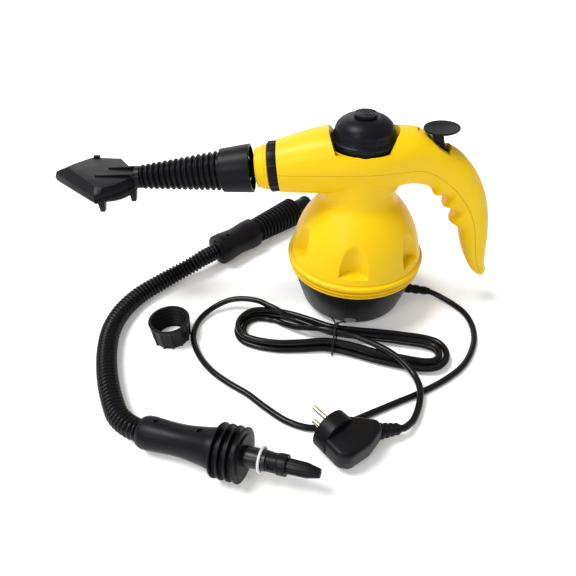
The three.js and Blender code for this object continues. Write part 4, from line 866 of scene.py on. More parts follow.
def spread(nodes, links, cloud, places, low, high, socket):
    """Feeds a socket with a noise, as a mix of a low and a high colour."""
    ramp = nodes.new("ShaderNodeValToRGB")
    for element, place, colour in zip(ramp.color_ramp.elements, places, (low, high)):
        element.position = place
        element.color = (*colour, 1)
    links.new(cloud.outputs["Fac"], ramp.inputs["Fac"])
    links.new(ramp.outputs["Color"], socket)


def emboss(nodes, links, cloud, strength, depth, shader):
    bump = nodes.new("ShaderNodeBump")
    bump.inputs["Strength"].default_value = strength
    bump.inputs["Distance"].default_value = depth
    links.new(cloud.outputs["Fac"], bump.inputs["Height"])
    links.new(bump.outputs["Normal"], shader.inputs["Normal"])


def moulded(name, light, dark, roughness, grain_height, highlight):
    """Moulded plastic or rubber: uneven tone, fine grain in its gloss and a fine texture on its skin."""
    material, nodes, links, shader = node_material(name)
    cloud = noise_node(nodes, links, texture.mottling, 5)
    spread(nodes, links, cloud, texture.blend, dark, light, shader.inputs["Base Color"])
    smear = noise_node(nodes, links, texture.smear, 6, 0.6)
    glossy, dull = ((roughness * share,) * 3 for share in texture.sheen)
    spread(nodes, links, smear, texture.smear_blend, glossy, dull, shader.inputs["Roughness"])
    emboss(nodes, links, noise_node(nodes, links, texture.grain, 2), grain_height, texture.relief, shader)
    shader.inputs["Specular IOR Level"].default_value = highlight
    return material


def metal(name, light, dark, roughness):
    """Drawn or cast metal with a fine directional grain."""
    material, nodes, links, shader = node_material(name)
    cloud = noise_node(nodes, links, texture.metal_grain, 6, 0.5, texture.brushing)
    spread(nodes, links, cloud, texture.blend, dark, light, shader.inputs["Base Color"])
    glossy, dull = ((roughness * share,) * 3 for share in texture.metal_sheen)
    spread(nodes, links, cloud, texture.blend, glossy, dull, shader.inputs["Roughness"])
    emboss(nodes, links, cloud, texture.metal_strength, texture.metal_relief, shader)
    shader.inputs["Metallic"].default_value = 1
    return material


materials = {name: moulded(name, *look) for name, look in plastics.items()}
materials.update((name, metal(name, *look)) for name, look in metals.items())


def finished(piece, body_name, slot, *nodes, material=None, angle=32):
    """Smooths and paints a piece, lets it ride its body and stand for its nodes."""
    if piece.type == "MESH":
        smooth_by_angle(piece, angle)
    piece.data.materials.clear()
    piece.data.materials.append(materials[material or slot])
    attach(piece, body_name)
    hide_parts(*nodes)
    return piece


def turned(name, profile, where, body_name, slot, node, sides=96, **finish):
    """A piece turned about Z, put in place and finished."""
    return finished(placed(lathe(name, profile, sides), where), body_name, slot, node, **finish)


# Camera

def make_camera():
    data = bpy.data.cameras.new("camera")
    data.lens = camera.lens
    data.sensor_width = camera.sensor
    data.clip_start = camera.near
    viewer = linked("camera", data)
    aim = about("Z", -camera.yaw) @ about("X", quarter - camera.pitch) @ about("Z", camera.roll)
    viewer.matrix_world = at(*camera.place) @ aim
    bpy.context.scene.camera = viewer


# Power lead

def pinch_at(place):
    """How much the loops are drawn in at a place along the hank: one at the waist, none at the ends."""
    return 1 - smooth_step(abs(place) / (hank.waist_left if place < 0 else hank.waist_right))


def run_half_width(place):
    wide = hank.left_half_width if place < 0 else hank.right_half_width
    return wide + (hank.waist_half_width - wide) * pinch_at(place)


def hank_point(along, across, height):
    c, s = math.cos(hank.turn), math.sin(hank.turn)
    x, y = hank.centre
    return Vector((x + along * c - across * s, y + along * s + across * c, height))


def hank_route():
    """The loops spiral out on the upper layer, go down along a run half-way through, and spiral in again."""
    points = []
    end_steps = round(hank.steps * hank.end_share)
    run_steps = hank.steps // 2 - end_steps
    middle = hank.loops / 2

    def push(turns, place, side, angle):
        offset = hank.pitch * (middle - abs(turns - middle))
        climb = smooth_step((turns - middle) * hank.climb_rate + 0.5)
        height = hank.rest + hank.layer_step * (1 - climb) + hank.lift * pinch_at(place)
        width = side * (run_half_width(place) + offset)
        points.append(hank_point(place + width * math.sin(angle), width * math.cos(angle), height))

    for h in range(hank.loops * 2):
        side = 1 if h % 2 == 0 else -1
        start, to = (-hank.left_reach, hank.right_reach)[::side]
        if h == 0:
            start = hank.start_place
        for i in range(run_steps):
            share = i / run_steps
            push((h + share * hank.run_share) / 2, start + (to - start) * share, side, 0)
        for i in range(end_steps):
            share = i / end_steps
            push((h + hank.run_share + share * (1 - hank.run_share)) / 2, to, side, half * share)
    push(hank.loops, -hank.left_reach, 1, 0)
    push(hank.loops, -hank.left_reach + 2 * cord.radius, 1, 0)
    return points


def plug_relief_end(extra):
    return plug_relief_frame @ Vector((plug_relief.length + extra, 0, 0))


def power_cord():
    winding = hank_route()
    diameter = 2 * cord.radius
    line = catmull_rom([
        *lead_route,
        beyond(winding[0], winding[1], gap + diameter),
        *winding,
        beyond(winding[-1], winding[-2], gap + diameter),
        *tail_route,
        plug_relief_end(gap + diameter / 2),
        plug_relief_end(gap),
    ], cord.span_steps)
    curve = bpy.data.curves.new("power_cord", "CURVE")
    curve.dimensions = "3D"
    curve.bevel_depth = cord.radius
    curve.bevel_resolution = cord.bevel_steps
    curve.use_fill_caps = True
    spline = curve.splines.new("POLY")
    spline.points.add(len(line) - 1)
    for spot, place in zip(spline.points, line):
        spot.co = (*place, 1)
    spline.use_smooth = True
    piece = linked("power_cord", curve)
    nodes = ("cord_lead", "cord_hank", "cord_tail")
    return finished(piece, "root", "black_rubber", *nodes, material="wet_rubber"), line


def twist_tie():
    """A wire loop round the waist of the hank, with its two ends twisted together and bent over."""
    loop = [(x, 0, z) for x, z in tie.loop]
    ends = 2 * tie.span_steps
    ring = catmull_rom([*loop[-2:], *loop, *loop[:3]], tie.span_steps)[ends : -ends - 1]

    def wire(name, line, radius, sides):
        return loft(name, rings_along(line, [radius] * len(line), sides))

    band = looped("tie_band", rings_along(ring, [tie.radius] * len(ring), tie.sides))
    tails = [wire("tie_tail", catmull_rom(tail, tie.span_steps), tie.radius, tie.sides) for tail in tie.tails]
    twist = []
    y, z = tie.twist_start
    for i in range(tie.twists * tie.twist_steps + 1):
        angle = full * i / tie.twist_steps
        across = y + i * tie.twist_step
        twist.append(Vector((tie.radius * math.cos(angle), across + tie.radius * math.sin(angle), z)))
    knot = wire("tie_knot", twist, tie.twist_radius, tie.twist_steps)
    waist_frame = at(*hank.centre) @ about("Z", hank.turn + quarter)
    piece = placed(merged("tie_wire", band, knot, *tails), waist_frame)
    return finished(piece, "root", "black_plastic", "twist_tie", material="black_gloss")


def ribbed_cone(name, size, start):
    """A sleeve that narrows in ribs from its thick end to its thin end."""
    rib_share = 0.6
    pitch = size.length / size.ribs
    steps = []
    for i in range(size.ribs):
        radius = size.thick + (size.thin - size.thick) * i / (size.ribs - 1)
        steps += [(radius, (i + rib_share) * pitch), (radius - size.groove, (i + 1) * pitch)]
    return lathe(name, rounded(stacked(0, start, *steps), edge, 3), small_sides)


def strain_relief():
    piece = ribbed_cone("lead_relief", relief, -relief.depth - wall)
    finished(placed(piece, relief_frame @ along_x), "root", "black_rubber", "strain_relief")


def plug_pieces():
    radius, depth, groove = plug.disc_radius, plug.disc_depth, plug.groove
    disc_profile = [(0, -depth), (radius, -depth), (radius, -groove), (radius - groove, 0), (0, 0)]
    disc = placed(lathe("plug_shell", rounded(disc_profile, plug.disc_edge, 5), 96), along_x)
    grips = plate("plug_grips", plug.outline, -plug.half_height, plug.half_height)
    soften(grips, plug.bevel, 5, 20)
    cone_frame = plug_frame.inverted() @ plug_relief_frame @ along_x
    cone = placed(ribbed_cone("plug_cone", plug_relief, -2 * plug_relief.thick), cone_frame)
    pin_frames = [at(z=side * plug.pin_spread) @ along_x for side in (-1, 1)]
    seat = rod(plug.pin_radius + gap, -plug.pin_seat - gap, overrun)
    seats = [placed(lathe("pin_seat", seat, 32), pin_frame) for pin_frame in pin_frames]
    shell = cut(union(disc, grips, cone), *seats)
    finished(placed(shell, plug_frame), "root", "black_rubber", "plug_body", angle=38)
    profile = rounded(rod(plug.pin_radius, -plug.pin_seat, plug.pin_length), plug.pin_edge, 6)
    pins = [
        turned(f"plug_contact_{i}", profile, plug_frame @ pin_frame, "root", "steel", f"plug_pin_{i}", 32)
        for i, pin_frame in enumerate(pin_frames, 1)
    ]
    return [shell, *pins]


# Hose

def ribbed_hose():
    diameter = 2 * hose.radius
    start = coupling.start + coupling.length + coupling.lip + gap
    stubs = (0, diameter / 2, diameter)
    rough = catmull_rom([
        *(hose_line_frame @ Vector((start + place, 0, 0)) for place in stubs),
        *hose_route,
        *(gun_frame @ Vector((place, 0, 0)) for place in stubs),
    ], hose.span_steps)
    line = evenly(rough, round(length_of(rough) / hose.pitch) * hose.rib_steps)
    swells = [abs(math.sin(half * i / hose.rib_steps)) ** hose.rib_fullness for i in range(len(line))]
    skin = rings_along(line, [hose.radius - hose.groove * (1 - swell) for swell in swells], hose.sides)
    bore = rings_along(line, [hose.bore] * len(line), hose.sides)
    rings = [*skin, *reversed([*bore[:: hose.bore_steps], bore[-1]])]
    piece = looped("corrugated_hose", rings)
    finished(piece, "hose_set", "black_rubber", "ribbed_hose", material="wet_rubber", angle=70)
    return piece, line[:: hose.rib_steps] + [line[-1]]


# Base

def base_radius_at(height):
    share = (height - base.underside) / (base.top - base.underside)
    return base.bottom_radius + (base.top_radius - base.bottom_radius) * share


def lens_solid(name, extra, start, end):
    piece = lathe(name, rounded(rod(lens.width / 2 + extra, start, end), lens.edge, 3), 64)
    flatten = Matrix.Scale(lens.height / lens.width, 4, (0, 1, 0))
    return placed(piece, about("Z", lens.turn) @ at(z=lens.centre) @ about("X", quarter) @ flatten)


def base_pieces():
    floor_top = base.underside + base.floor
    lip, lip_top = base.top_radius - base.lip_inset, base.top + base.lip_height
    chamfer_top = base.underside + base.chamfer
    profile = [
        (0, 0), (base.pad_radius, 0), (base.pad_radius, base.underside),
        (base.bottom_radius - base.chamfer_in, base.underside),
        (base.bottom_radius - gap, base.underside + base.chamfer_up),
        (base_radius_at(chamfer_top), chamfer_top),
        (base.top_radius, base.top), (lip, base.top), (lip, lip_top),
        (lip - wall, lip_top), (lip - wall, base.top - base.lip_inset),
        (base.bottom_radius - 2 * wall, floor_top), (0, floor_top),
    ]
    shell = lathe("base_shell", rounded(profile, base.edge, 5), base.sides)
    angles = [half / 4 + full * i / foot.count for i in range(foot.count)]
    foot_frames = [at(foot.place * math.cos(angle), foot.place * math.sin(angle)) for angle in angles]
    seat = rod(foot.radius + gap, 0, foot.seat)
    seats = [placed(lathe("foot_seat", seat, small_sides), foot_frame) for foot_frame in foot_frames]
    face = base_radius_at(lens.centre)
    lens_seat = lens_solid("lens_seat", gap, face - lens.depth, base.top_radius)
    bore = lathe("relief_bore", rod(relief.thick + gap, -relief.bore_depth, relief.length), small_sides)
    cut(shell, *seats, lens_seat, placed(bore, relief_frame @ along_x))
    finished(shell, "root", "black_plastic", "base_cup", angle=30)
    foot_profile = rounded(rod(foot.radius, 0, foot.height), soft_edge, 4)
    for i, foot_frame in enumerate(foot_frames, 1):
        pad = placed(lathe(f"foot_pad_{i}", foot_profile, small_sides), foot_frame)
        finished(pad, "root", "black_rubber", f"rubber_foot_{i}")
    window = lens_solid("lens_window", 0, face - lens.depth + gap, face + lens.proud)
    finished(window, "root", "grey_plastic", "indicator_lens")


# Housing

bell_line = catmull_rom(bell.skin, 12)


def bumped(point, outwards):
    """A point of the handle's inner edge, moved outwards on the finger bumps."""
    for x, z in finger_bumps.places:
        away = (point - Vector((x, 0, z))).length / finger_bumps.width
        point = point + outwards * finger_bumps.height * math.exp(-away * away)
    return point


def body_rings(steps, sides, inset, extend=0):
    tops = catmull_rom([(x, 0, z) for (x, z), _, _ in body_sections], steps)
    bottoms = catmull_rom([(x, 0, z) for _, (x, z), _ in body_sections], steps)
    bottoms = [bumped(bottom, (bottom - top).normalized()) for top, bottom in zip(tops, bottoms)]
    widths = catmull_rom([(i * body_ring.width_step, w) for i, (_, _, w) in enumerate(body_sections)], steps)
    power = 2 / body_ring.fullness
    rings = []
    for top, bottom, width in zip(tops, bottoms, widths):
        middle = (top + bottom) / 2
        up = top - middle
        reach = up.length - inset
        half_width = width.y - inset
        if reach < wall or half_width < wall:
            continue
        up.normalize()
        ring = []
        for i in range(sides):
            angle = full * i / sides
            c, s = math.cos(angle), math.sin(angle)
            point = middle + up * reach * math.copysign(abs(c) ** power, c)
            point.y = half_width * math.copysign(abs(s) ** power, s)
            ring.append(point)
        rings.append(ring)
    if extend:
        ahead = Vector((-math.cos(nose.tilt), 0, -math.sin(nose.tilt))) * extend
        rings.insert(0, [p + ahead for p in rings[0]])
    return rings


def body_solid(name, inset=0):
    return loft(name, body_rings(body_ring.steps, body_ring.sides, inset))


def bell_radius(height):
    """Radius of the bell's plain skin: three round beads with grooves, then a smooth curve up to the neck."""
    for i, (radius, bottom, top) in enumerate(bell.beads):
        if height <= top:
            middle, span = (bottom + top) / 2, (top - bottom) / 2
            return radius - bell.groove * min(abs((height - middle) / span), 1) ** 4
        if i < len(bell.beads) - 1 and height < bell.beads[i + 1][1]:
            return radius - bell.groove
    if height <= bell_line[0].y:
        return bell_line[0].x
    for a, b in zip(bell_line, bell_line[1:]):
        if height <= b.y:
            return a.x + (b.x - a.x) * (height - a.y) / (b.y - a.y)
    return bell_line[-1].x


def soft_min(a, b, soft):
    share = max(soft - abs(a - b), 0) / soft
    return min(a, b) - share * share * soft / 4


def soft_max(a, b, soft):
    return -soft_min(-a, -b, soft)


def bell_reach(radius, height, angle, extra=0):
    """Radius of the bell at a height and angle, with its six scoops pressed in."""
    step = full / scoop.count
    around = (angle + quarter - scoop.turn + step / 2) % step - step / 2
    carve_radius = scoop.radius + extra
    across = abs(scoop.place * math.sin(around))
    if across < carve_radius * scoop.side_margin and height > scoop.shelf - scoop.shelf_reach - extra:
        inner = carve_radius ** 2 - min(across, carve_radius) ** 2
        pocket = scoop.place * math.cos(around) - math.sqrt(inner)
        pocket += max(across - carve_radius, 0) * scoop.side_slope
        shelf = scoop.shelf_radius - (height - scoop.shelf + extra) * scoop.shelf_slope
        radius = soft_min(radius, soft_max(pocket, shelf, scoop.shelf_soft), scoop.soft)
    return radius


def neck_flare(height, angle):
    """How far the neck swells where it runs into the underside of the barrel, fore and aft."""
    facing = abs(math.cos(angle)) ** 3
    fore, aft = bell.barrel_under
    start = (fore if math.cos(angle) < 0 else aft) - bell.flare
    if facing < bell.flare_from or height < start:
        return 0
    rise = min(height - start, bell.flare * bell.flare_share)
    return facing * (bell.flare - math.sqrt(bell.flare ** 2 - rise ** 2))


def bell_rows(step, fine):
    top = bell.skin[-1][1]
    heights = []
    height = bell.bottom
    while height < top:
        heights.append(height)
        height += fine if any(start < height < end for start, end in bell.fine_spans) else step
    return [*heights, top]


def bell_solid():
    rows = bell_rows(bell.row, bell.fine_row)
    profile = [(0, rows[0]), *((bell_radius(z), z) for z in rows), (0, rows[-1])]
    return lathe("bell", profile, bell.sides, lambda r, z, a: bell_reach(r, z, a) + neck_flare(z, a))


def bell_hollow():
    rows = bell_rows(bell.hollow_row, bell.hollow_row)
    inner = [(min(bell_radius(z), bell.skin[0][0]) - wall, z) for z in rows]
    profile = [(0, rows[0] - overrun), (inner[0][0], rows[0] - overrun), *inner]
    profile += [(inner[-1][0], rows[-1] + overrun), (0, rows[-1] + overrun)]
    return lathe("bell_hollow", profile, bell.sides // 2, lambda r, z, a: bell_reach(r, z, a, wall))


def parting_side(side):
    """One side of the parting line, drawn back from it by half of the seam."""
    line = catmull_rom(parting, 6)
    shift = side * body.seam / 2
    moved = []
    for i, (x, z) in enumerate(line):
        before, after = line[max(i - 1, 0)], line[min(i + 1, len(line) - 1)]
        run, rise = after.x - before.x, after.y - before.y
        length = math.hypot(run, rise)
        moved.append((x - rise / length * shift, z + run / length * shift))
    if side > 0:
        corners = [(body.right, moved[-1][1]), (body.right, body.top), (moved[0][0], body.top)]
    else:
        corners = [(moved[-1][0], body.bottom), (moved[0][0], body.bottom)]
    return side_plate("parting_side", [*moved, *corners], body.half_span)


def housing_pieces():
    hollow = loft("hollow", body_rings(body_ring.hollow_steps, body_ring.hollow_sides, wall, overrun))
    lower = cut(union(body_solid("lower_shell"), bell_solid()), union(hollow, bell_hollow()))
    upper = linked("upper_shell", lower.data.copy())

    top = body.top
    well_ring = sleeve(well.lip_radius, well.radius + well.wall, well.floor - well.wall, top)
    well_wall = lathe("well_wall", well_ring, fine_sides)
    inside(well_wall, body_solid("well_limit", body_ring.skin_inset))
    floor = side_plate("notch_floor", notch.under, body.half_span)
    inside(floor, body_solid("floor_limit", body_ring.skin_inset))
    union(upper, well_wall, floor)

    well_bore = lathe("well_bore", rod(well.radius, well.floor, top), fine_sides)
    saddle_cut = side_plate("saddle", [*saddle, (saddle[-1][0], top), (saddle[0][0], top)], body.half_span)
    wedge_end = [notch.wall_top, (notch.wall_top[0], top), (notch.line[0][0], top)]
    wedge = side_plate("wedge", [*notch.line, *wedge_end], body.half_span)
    slot_width = (-notch.slot_half_width, notch.slot_half_width)
    slot = block("slot", notch.slot, slot_width, (trigger.pivot[1], top))
    dish = lathe("dish", rod(notch.dish_radius, notch.dish_floor, top), fine_sides)
    placed(dish, at(notch.dish_place))
    cut(upper, well_bore, saddle_cut, wedge, slot, dish)
    inside(upper, parting_side(1))
    finished(upper, "root", "yellow_plastic", "upper_housing", angle=36)
    inside(lower, parting_side(-1))
    finished(lower, "root", "yellow_plastic", "lower_housing", angle=36)


# Cap, collar and filler neck

def cap_pieces():
    inner, outer = collar.inner, collar.outer
    collar_profile = [
        (inner, collar.top - wall), (inner, collar.bottom), (outer, collar.bottom),
        (outer, collar.top), (outer - wall, collar.top), (outer - wall, collar.top - wall),
    ]
    collar_profile = rounded(collar_profile, closed=True)
    turned("well_collar", collar_profile, at(), "root", "black_plastic", "filler_collar", fine_sides)
    neck_profile = rounded(sleeve(neck.inner, neck.outer, neck.bottom, neck.top), closed=True)
    turned("brass_neck", neck_profile, at(), "root", "brass", "filler_neck")

    outside = [
        (cap.skirt_radius - cap.wall, cap.skirt_bottom), (cap.skirt_radius, cap.skirt_bottom),
        (cap.skirt_radius, cap.flange_bottom), (cap.flange_radius, cap.flange_bottom),
        (cap.flange_radius, cap.flange_top),
    ]
    dome = catmull_rom(cap.dome, 6)
    hole = cap.disc_radius - cap.wall
    ceiling = [(max(r - cap.wall, hole), z - cap.wall_drop) for r, z in dome[::6]]
    profile = [
        *rounded([*outside, dome[0]]), *dome[1:],
        (cap.disc_radius + gap, cap.disc_seat), (cap.disc_radius + gap, cap.disc_seat - gap),
        (hole, cap.disc_seat - gap), *reversed(ceiling),
        (cap.skirt_radius - cap.wall, cap.flange_top - cap.wall),
    ]

    def panelled(radius, height, angle):
        if radius < cap.dome[3][0] or not cap.panel_from < height < cap.panel_to:
            return radius
        side_slope, foot_slope, top_slope = cap.panel_edges
        place = share_of_step(angle, cap.panels)
        depth = cap.panel_depth * smooth_step(min(place, 1 - place) * side_slope)
        depth *= smooth_step((cap.panel_to - height) * top_slope)
        return radius - depth * smooth_step((height - cap.panel_from) * foot_slope)

    shell = lathe("cap_shell_dome", profile, 240, panelled)
    finished(shell, "cap_shell", "black_plastic", "safety_cap", angle=40)

    disc = [(0, cap.disc_seat), (cap.disc_radius, cap.disc_seat), (cap.disc_radius, cap.disc_top)]
    step = cap.disc_radius / (2 * cap.rings + 1)
    groove_floor = cap.disc_top - cap.ring_depth
    for i in range(cap.rings):
        radius = cap.disc_radius - (2 * i + 1) * step
        disc += [(radius, cap.disc_top), (radius, groove_floor)]
        disc += [(radius - step, groove_floor), (radius - step, cap.disc_top)]
    disc.append((0, cap.disc_top))
    turned("cap_ringed_disc", rounded(disc, fine_edge, 3), at(), "cap_shell", "black_plastic", "cap_disc")


# Trigger

def trigger_piece():
    radius, dish = trigger.pad_radius, trigger.dish
    dish_out, dish_down = trigger.dish_share
    profile = [
        *((radius * out, trigger.pad_thickness * down) for out, down in trigger.pad_shares),
        (radius, 0), (radius - trigger.rim, 0), (radius * dish_out, -dish * dish_down), (0, -dish),
    ]
    pad_frame = at(trigger.pad_place, 0, trigger.pad_height) @ about("Y", -trigger.pad_tilt)
    pad = placed(lathe("thumb_lever", rounded(profile)), pad_frame)
    stem = soften(side_plate("stem", trigger.stem, trigger.stem_half_width), trigger.stem_edge)
    x, z = trigger.pivot
    pin_frame = at(x, 0, z) @ about("X", quarter)
    hub_profile = rounded(rod(trigger.hub, -trigger.hub, trigger.hub), trigger.hub_edge, 2)
    hub = placed(lathe("hub", hub_profile, small_sides), pin_frame)
    bore_profile = rod(trigger.bore, -trigger.bore_reach, trigger.bore_reach)
    piece = cut(union(pad, stem, hub), placed(lathe("bore", bore_profile, 32), pin_frame))
    finished(piece, "thumb_trigger", "black_plastic", "trigger", angle=38)


# Nose, lock ring, spout and nozzle

def nose_pieces():
    tip = nose_tip
    profile = [
        (tip.bore, tip.flange_from), (tip.flange_radius, tip.flange_from), (tip.flange_radius, -gap),
        (tip.seat_radius, gap), (tip.seat_radius, tip.step_from),
    ]
    for i, radius in enumerate(tip.thread_radii):
        start = tip.step_from + i * tip.thread_pitch
        root = radius - tip.thread_depth
        profile += [(radius, start + gap), (radius, start + tip.thread_pitch * tip.crest_share)]
        profile += [(root, start + tip.thread_pitch * tip.root_share), (root, start + tip.thread_pitch)]
    profile.append((tip.bore, tip.end))
    profile = rounded(profile, fine_edge, 3, closed=True)
    turned("threaded_tip", profile, nose_axis, "root", "yellow_plastic", "nose_tip", fine_sides)

    def notched(radius, height, angle):
        if radius < lock_ring.outer - lock_ring.notch:
            return radius
        slope, start = lock_ring.notch_edges
        place = share_of_step(angle, lock_ring.notches)
        return radius - lock_ring.notch * smooth_step(min(place, 1 - place) * slope - start)

    ring_profile = sleeve(lock_ring.inner, lock_ring.outer, lock_ring.start, lock_ring.to)
    ring = lathe("notched_ring", rounded(ring_profile, soft_edge, closed=True), 384, notched)
    finished(placed(ring, nose_axis), "locking_ring", "black_plastic", "lock_ring")

    steps = ((spout.flange_radius, spout.flange_to), (spout.radius, spout.end))
    spout_profile = rounded(stacked(spout.bore, spout.start, *steps), closed=True)
    turned("spout_tube", spout_profile, nose_axis, "root", "black_plastic", "steam_spout")
    band_profile = sleeve(spout.radius + gap, spout_ring.outer, spout_ring.start, spout_ring.to)
    band_profile = rounded(band_profile, soft_edge, closed=True)
    turned("spout_band", band_profile, nose_axis, "root", "grey_plastic", "spout_ring")


def nozzle_piece():
    profile = rounded([
        (nozzle.mouth_bore, nozzle.mouth), (nozzle.mouth_radius, nozzle.mouth),
        (nozzle.collar_radius, nozzle.collar_end), (nozzle.rib_first - nozzle.rib_depth, nozzle.collar_end),
    ])
    for i in range(nozzle.rib_count):
        share = i / (nozzle.rib_count - 1)
        radius = nozzle.rib_first + (nozzle.rib_last - nozzle.rib_first) * share
        start = nozzle.rib_from + i * nozzle.rib_pitch
        for k in range(nozzle.rib_points):
            across = k / (nozzle.rib_points - 1)
            swell = math.sin(half * across) ** nozzle.rib_fullness
            place = start + nozzle.rib_pitch * (nozzle.rib_start + nozzle.rib_span * across)
            profile.append((radius - nozzle.rib_depth * (1 - swell), place))
    ribs_end = nozzle.rib_from + nozzle.rib_count * nozzle.rib_pitch
    seat = nozzle.mouth + nozzle.mouth_depth
    profile += rounded([
        (nozzle.end_radius, ribs_end), (nozzle.end_radius, nozzle.end), (nozzle.bore, nozzle.end),
        (nozzle.bore, nozzle.sleeve_end), (nozzle.sleeve, nozzle.sleeve_end), (nozzle.sleeve, seat),
        (nozzle.mouth_bore, seat),
    ], fine_edge)
    piece = placed(lathe("ribbed_nozzle", profile, fine_sides), nose_axis)
    finished(piece, "nozzle", "black_plastic", "extension_nozzle", angle=50)


# Squeegee head

def head_ring(outline, height):
    return [(out, y, height) for out, y in outline]


def mixed(first, second, share):
    return [(a + (c - a) * share, b + (d - b) * share) for (a, b), (c, d) in zip(first, second)]


def head_hook(out, y):
    """A hook under the head that narrows towards its foot."""
    long, wide = head.hook_size
    rings = []
    for share, height in ((1, head.hook_top), (head.hook_taper, head.hook_bottom)):
        middle = out + (1 - share) * long / 2
        signs = ((-1, -1), (1, -1), (1, 1), (-1, 1))
        corners = [(middle + a * long * share / 2, y + b * wide * share / 2) for a, b in signs]
        rings.append(head_ring(corners, height))
    return soften(loft("hook", rings), edge)


def head_pieces():
    lip, top = head.lip_outline, head.top_outline
    cover = loft("squeegee_cover", [
        head_ring(lip, head.seam),
        head_ring(mixed(lip, top, head.band_share / 2), head.band),
        head_ring(mixed(lip, top, head.band_share), head.band + edge),
        head_ring(top, head.top),
    ])
    soften(cover, full_edge, 3, 12)
    ribs = []
    for reach, y in head.ribs:
        outline = [
            (-head.rib_back, head.top - head.rib_foot), (reach, head.top - head.rib_sink),
            (reach * head.rib_tip_share, head.top + head.rib_tip), (-head.rib_back, head.rib_height),
        ]
        rib = soften(side_plate("rib", outline, head.rib_half_width), fine_edge)
        ribs.append(placed(rib, at(y=y)))
    xs, ys, clip_top = head.clip
    clip = soften(block("clip", xs, ys, (0, clip_top)), edge)
    union(cover, *ribs, clip)
    finished(placed(cover, head_frame), "squeegee_head", "black_plastic", "head_cover", angle=28)

    lower_ring = head_ring(mixed(lip, top, head.lip_share), head.lip)
    lower = loft("squeegee_lower", [lower_ring, head_ring(lip, head.seam - gap)])
    soften(lower, soft_edge, 3, 20)
    bowl_profile = [
        (0, head.bowl_bottom), (head.bowl_radius - head.bowl_chamfer, head.bowl_bottom),
        (head.bowl_radius, head.bowl_rim), (head.bowl_radius + head.bowl_flare, head.lip + wall),
        (0, head.lip + wall),
    ]
    bowl = placed(lathe("bowl", rounded(bowl_profile, head.bowl_edge, 6)), at(head.bowl_place))
    hooks = [head_hook(out, y) for out, y in head.hooks]
    spigot_profile = rounded(rod(head.spigot_radius, -head.spigot_length, head.spigot_reach), edge, 3)
    spigot_frame = head_frame.inverted() @ nozzle_tip @ about("Y", -quarter)
    spigot = placed(lathe("spigot", spigot_profile, 64), spigot_frame)
    xs, ys, roof_top = head.roof
    cut(spigot, block("roof", xs, ys, (head.seam - gap, roof_top)))
    union(lower, bowl, *hooks, spigot)
    finished(placed(lower, head_frame), "squeegee_head", "black_plastic", "head_base", angle=34)


# Hose set

def split_shell(name, shell, hollow, start, end, radius, recesses, where):
    """A hollow shell along X, kept as two halves, with the screw recesses in the upper one."""
    placed(cut(shell, lathe("hollow", hollow)), along_x)
    reach = radius + overrun
    for half_name, node, heights, tools in (
        (f"{name}_top_half", f"{name}_upper", (gap / 2, reach), recesses),
        (f"{name}_bottom_half", f"{name}_lower", (-reach, -gap / 2), []),
    ):
        piece = linked(half_name, shell.data.copy())
        inside(piece, block("half", (start - overrun, end + overrun), (-reach, reach), heights))
        cut(piece, *tools)
        finished(placed(piece, where), "hose_set", "black_plastic", node, angle=36)
    bpy.data.objects.remove(shell)


def screw_recess(x, y, radius, top, depth):
    return placed(lathe("recess", rod(radius, top - depth, top + overrun), 40), at(x, y))


def hose_line_pieces():
    lip_end, flange_start = end_tube.lip_length - end_tube.length, -end_tube.flange_length - gap
    tube_profile = [
        (end_tube.inner, -end_tube.length), (end_tube.lip, -end_tube.length), (end_tube.lip, lip_end),
        (end_tube.outer, lip_end + end_tube.lip_slope), (end_tube.outer, flange_start),
        (end_tube.flange, flange_start), (end_tube.flange, -gap), (end_tube.inner, -gap),
    ]
    where = hose_line_frame @ along_x
    tube_profile = rounded(tube_profile, closed=True)
    turned("end_socket", tube_profile, where, "hose_set", "black_plastic", "hose_end_tube")

    pitch = grip.length / grip.ribs
    profile = [(grip.inner, 0), (grip.first - grip.rib_depth, 0)]
    for i in range(grip.ribs):
        radius = grip.first + (grip.last - grip.first) * i / (grip.ribs - 1)
        middle = (i + 0.5) * pitch
        root = radius - grip.rib_depth
        profile += [(root, middle - grip.rib_foot), (radius, middle - grip.rib_crest)]
        profile += [(radius, middle + grip.rib_crest), (root, middle + grip.rib_foot)]
    profile += [(grip.neck, grip.length), (grip.neck, grip.neck_end), (grip.inner, grip.neck_end)]
    profile = rounded(profile, fine_edge, 3, closed=True)
    turned("ribbed_grip", profile, where, "hose_set", "black_rubber", "hose_grip", fine_sides, angle=40)

    start, end = coupling.start, coupling.start + coupling.length
    tip = end + coupling.lip
    narrowing = [
        (coupling.radius, start + coupling.length / 6), (coupling.waist, start + coupling.length / 2),
        (coupling.radius, end - coupling.length / 6),
    ]
    outline = [
        (0, start), (coupling.radius, start), *catmull_rom(narrowing, 8),
        (coupling.radius, end), (coupling.lip_radius, end), (coupling.lip_radius, tip), (0, tip),
    ]
    shell = lathe("coupling", rounded(outline, full_edge), fine_sides)
    socket = grip.neck + gap
    hollow_steps = ((socket, start + wall), (coupling.inner, end - wall), (coupling.bore, tip + overrun))
    hollow = stacked(0, start - overrun, *hollow_steps)
    recesses = []
    for place, y in coupling.holes:
        depth = coupling.hole_depth + abs(y) * coupling.hole_slant
        recesses.append(screw_recess(tip - place, y, coupling.hole, coupling.radius, depth))
    split_shell("coupling", shell, hollow, start, tip, coupling.radius, recesses, hose_line_frame)


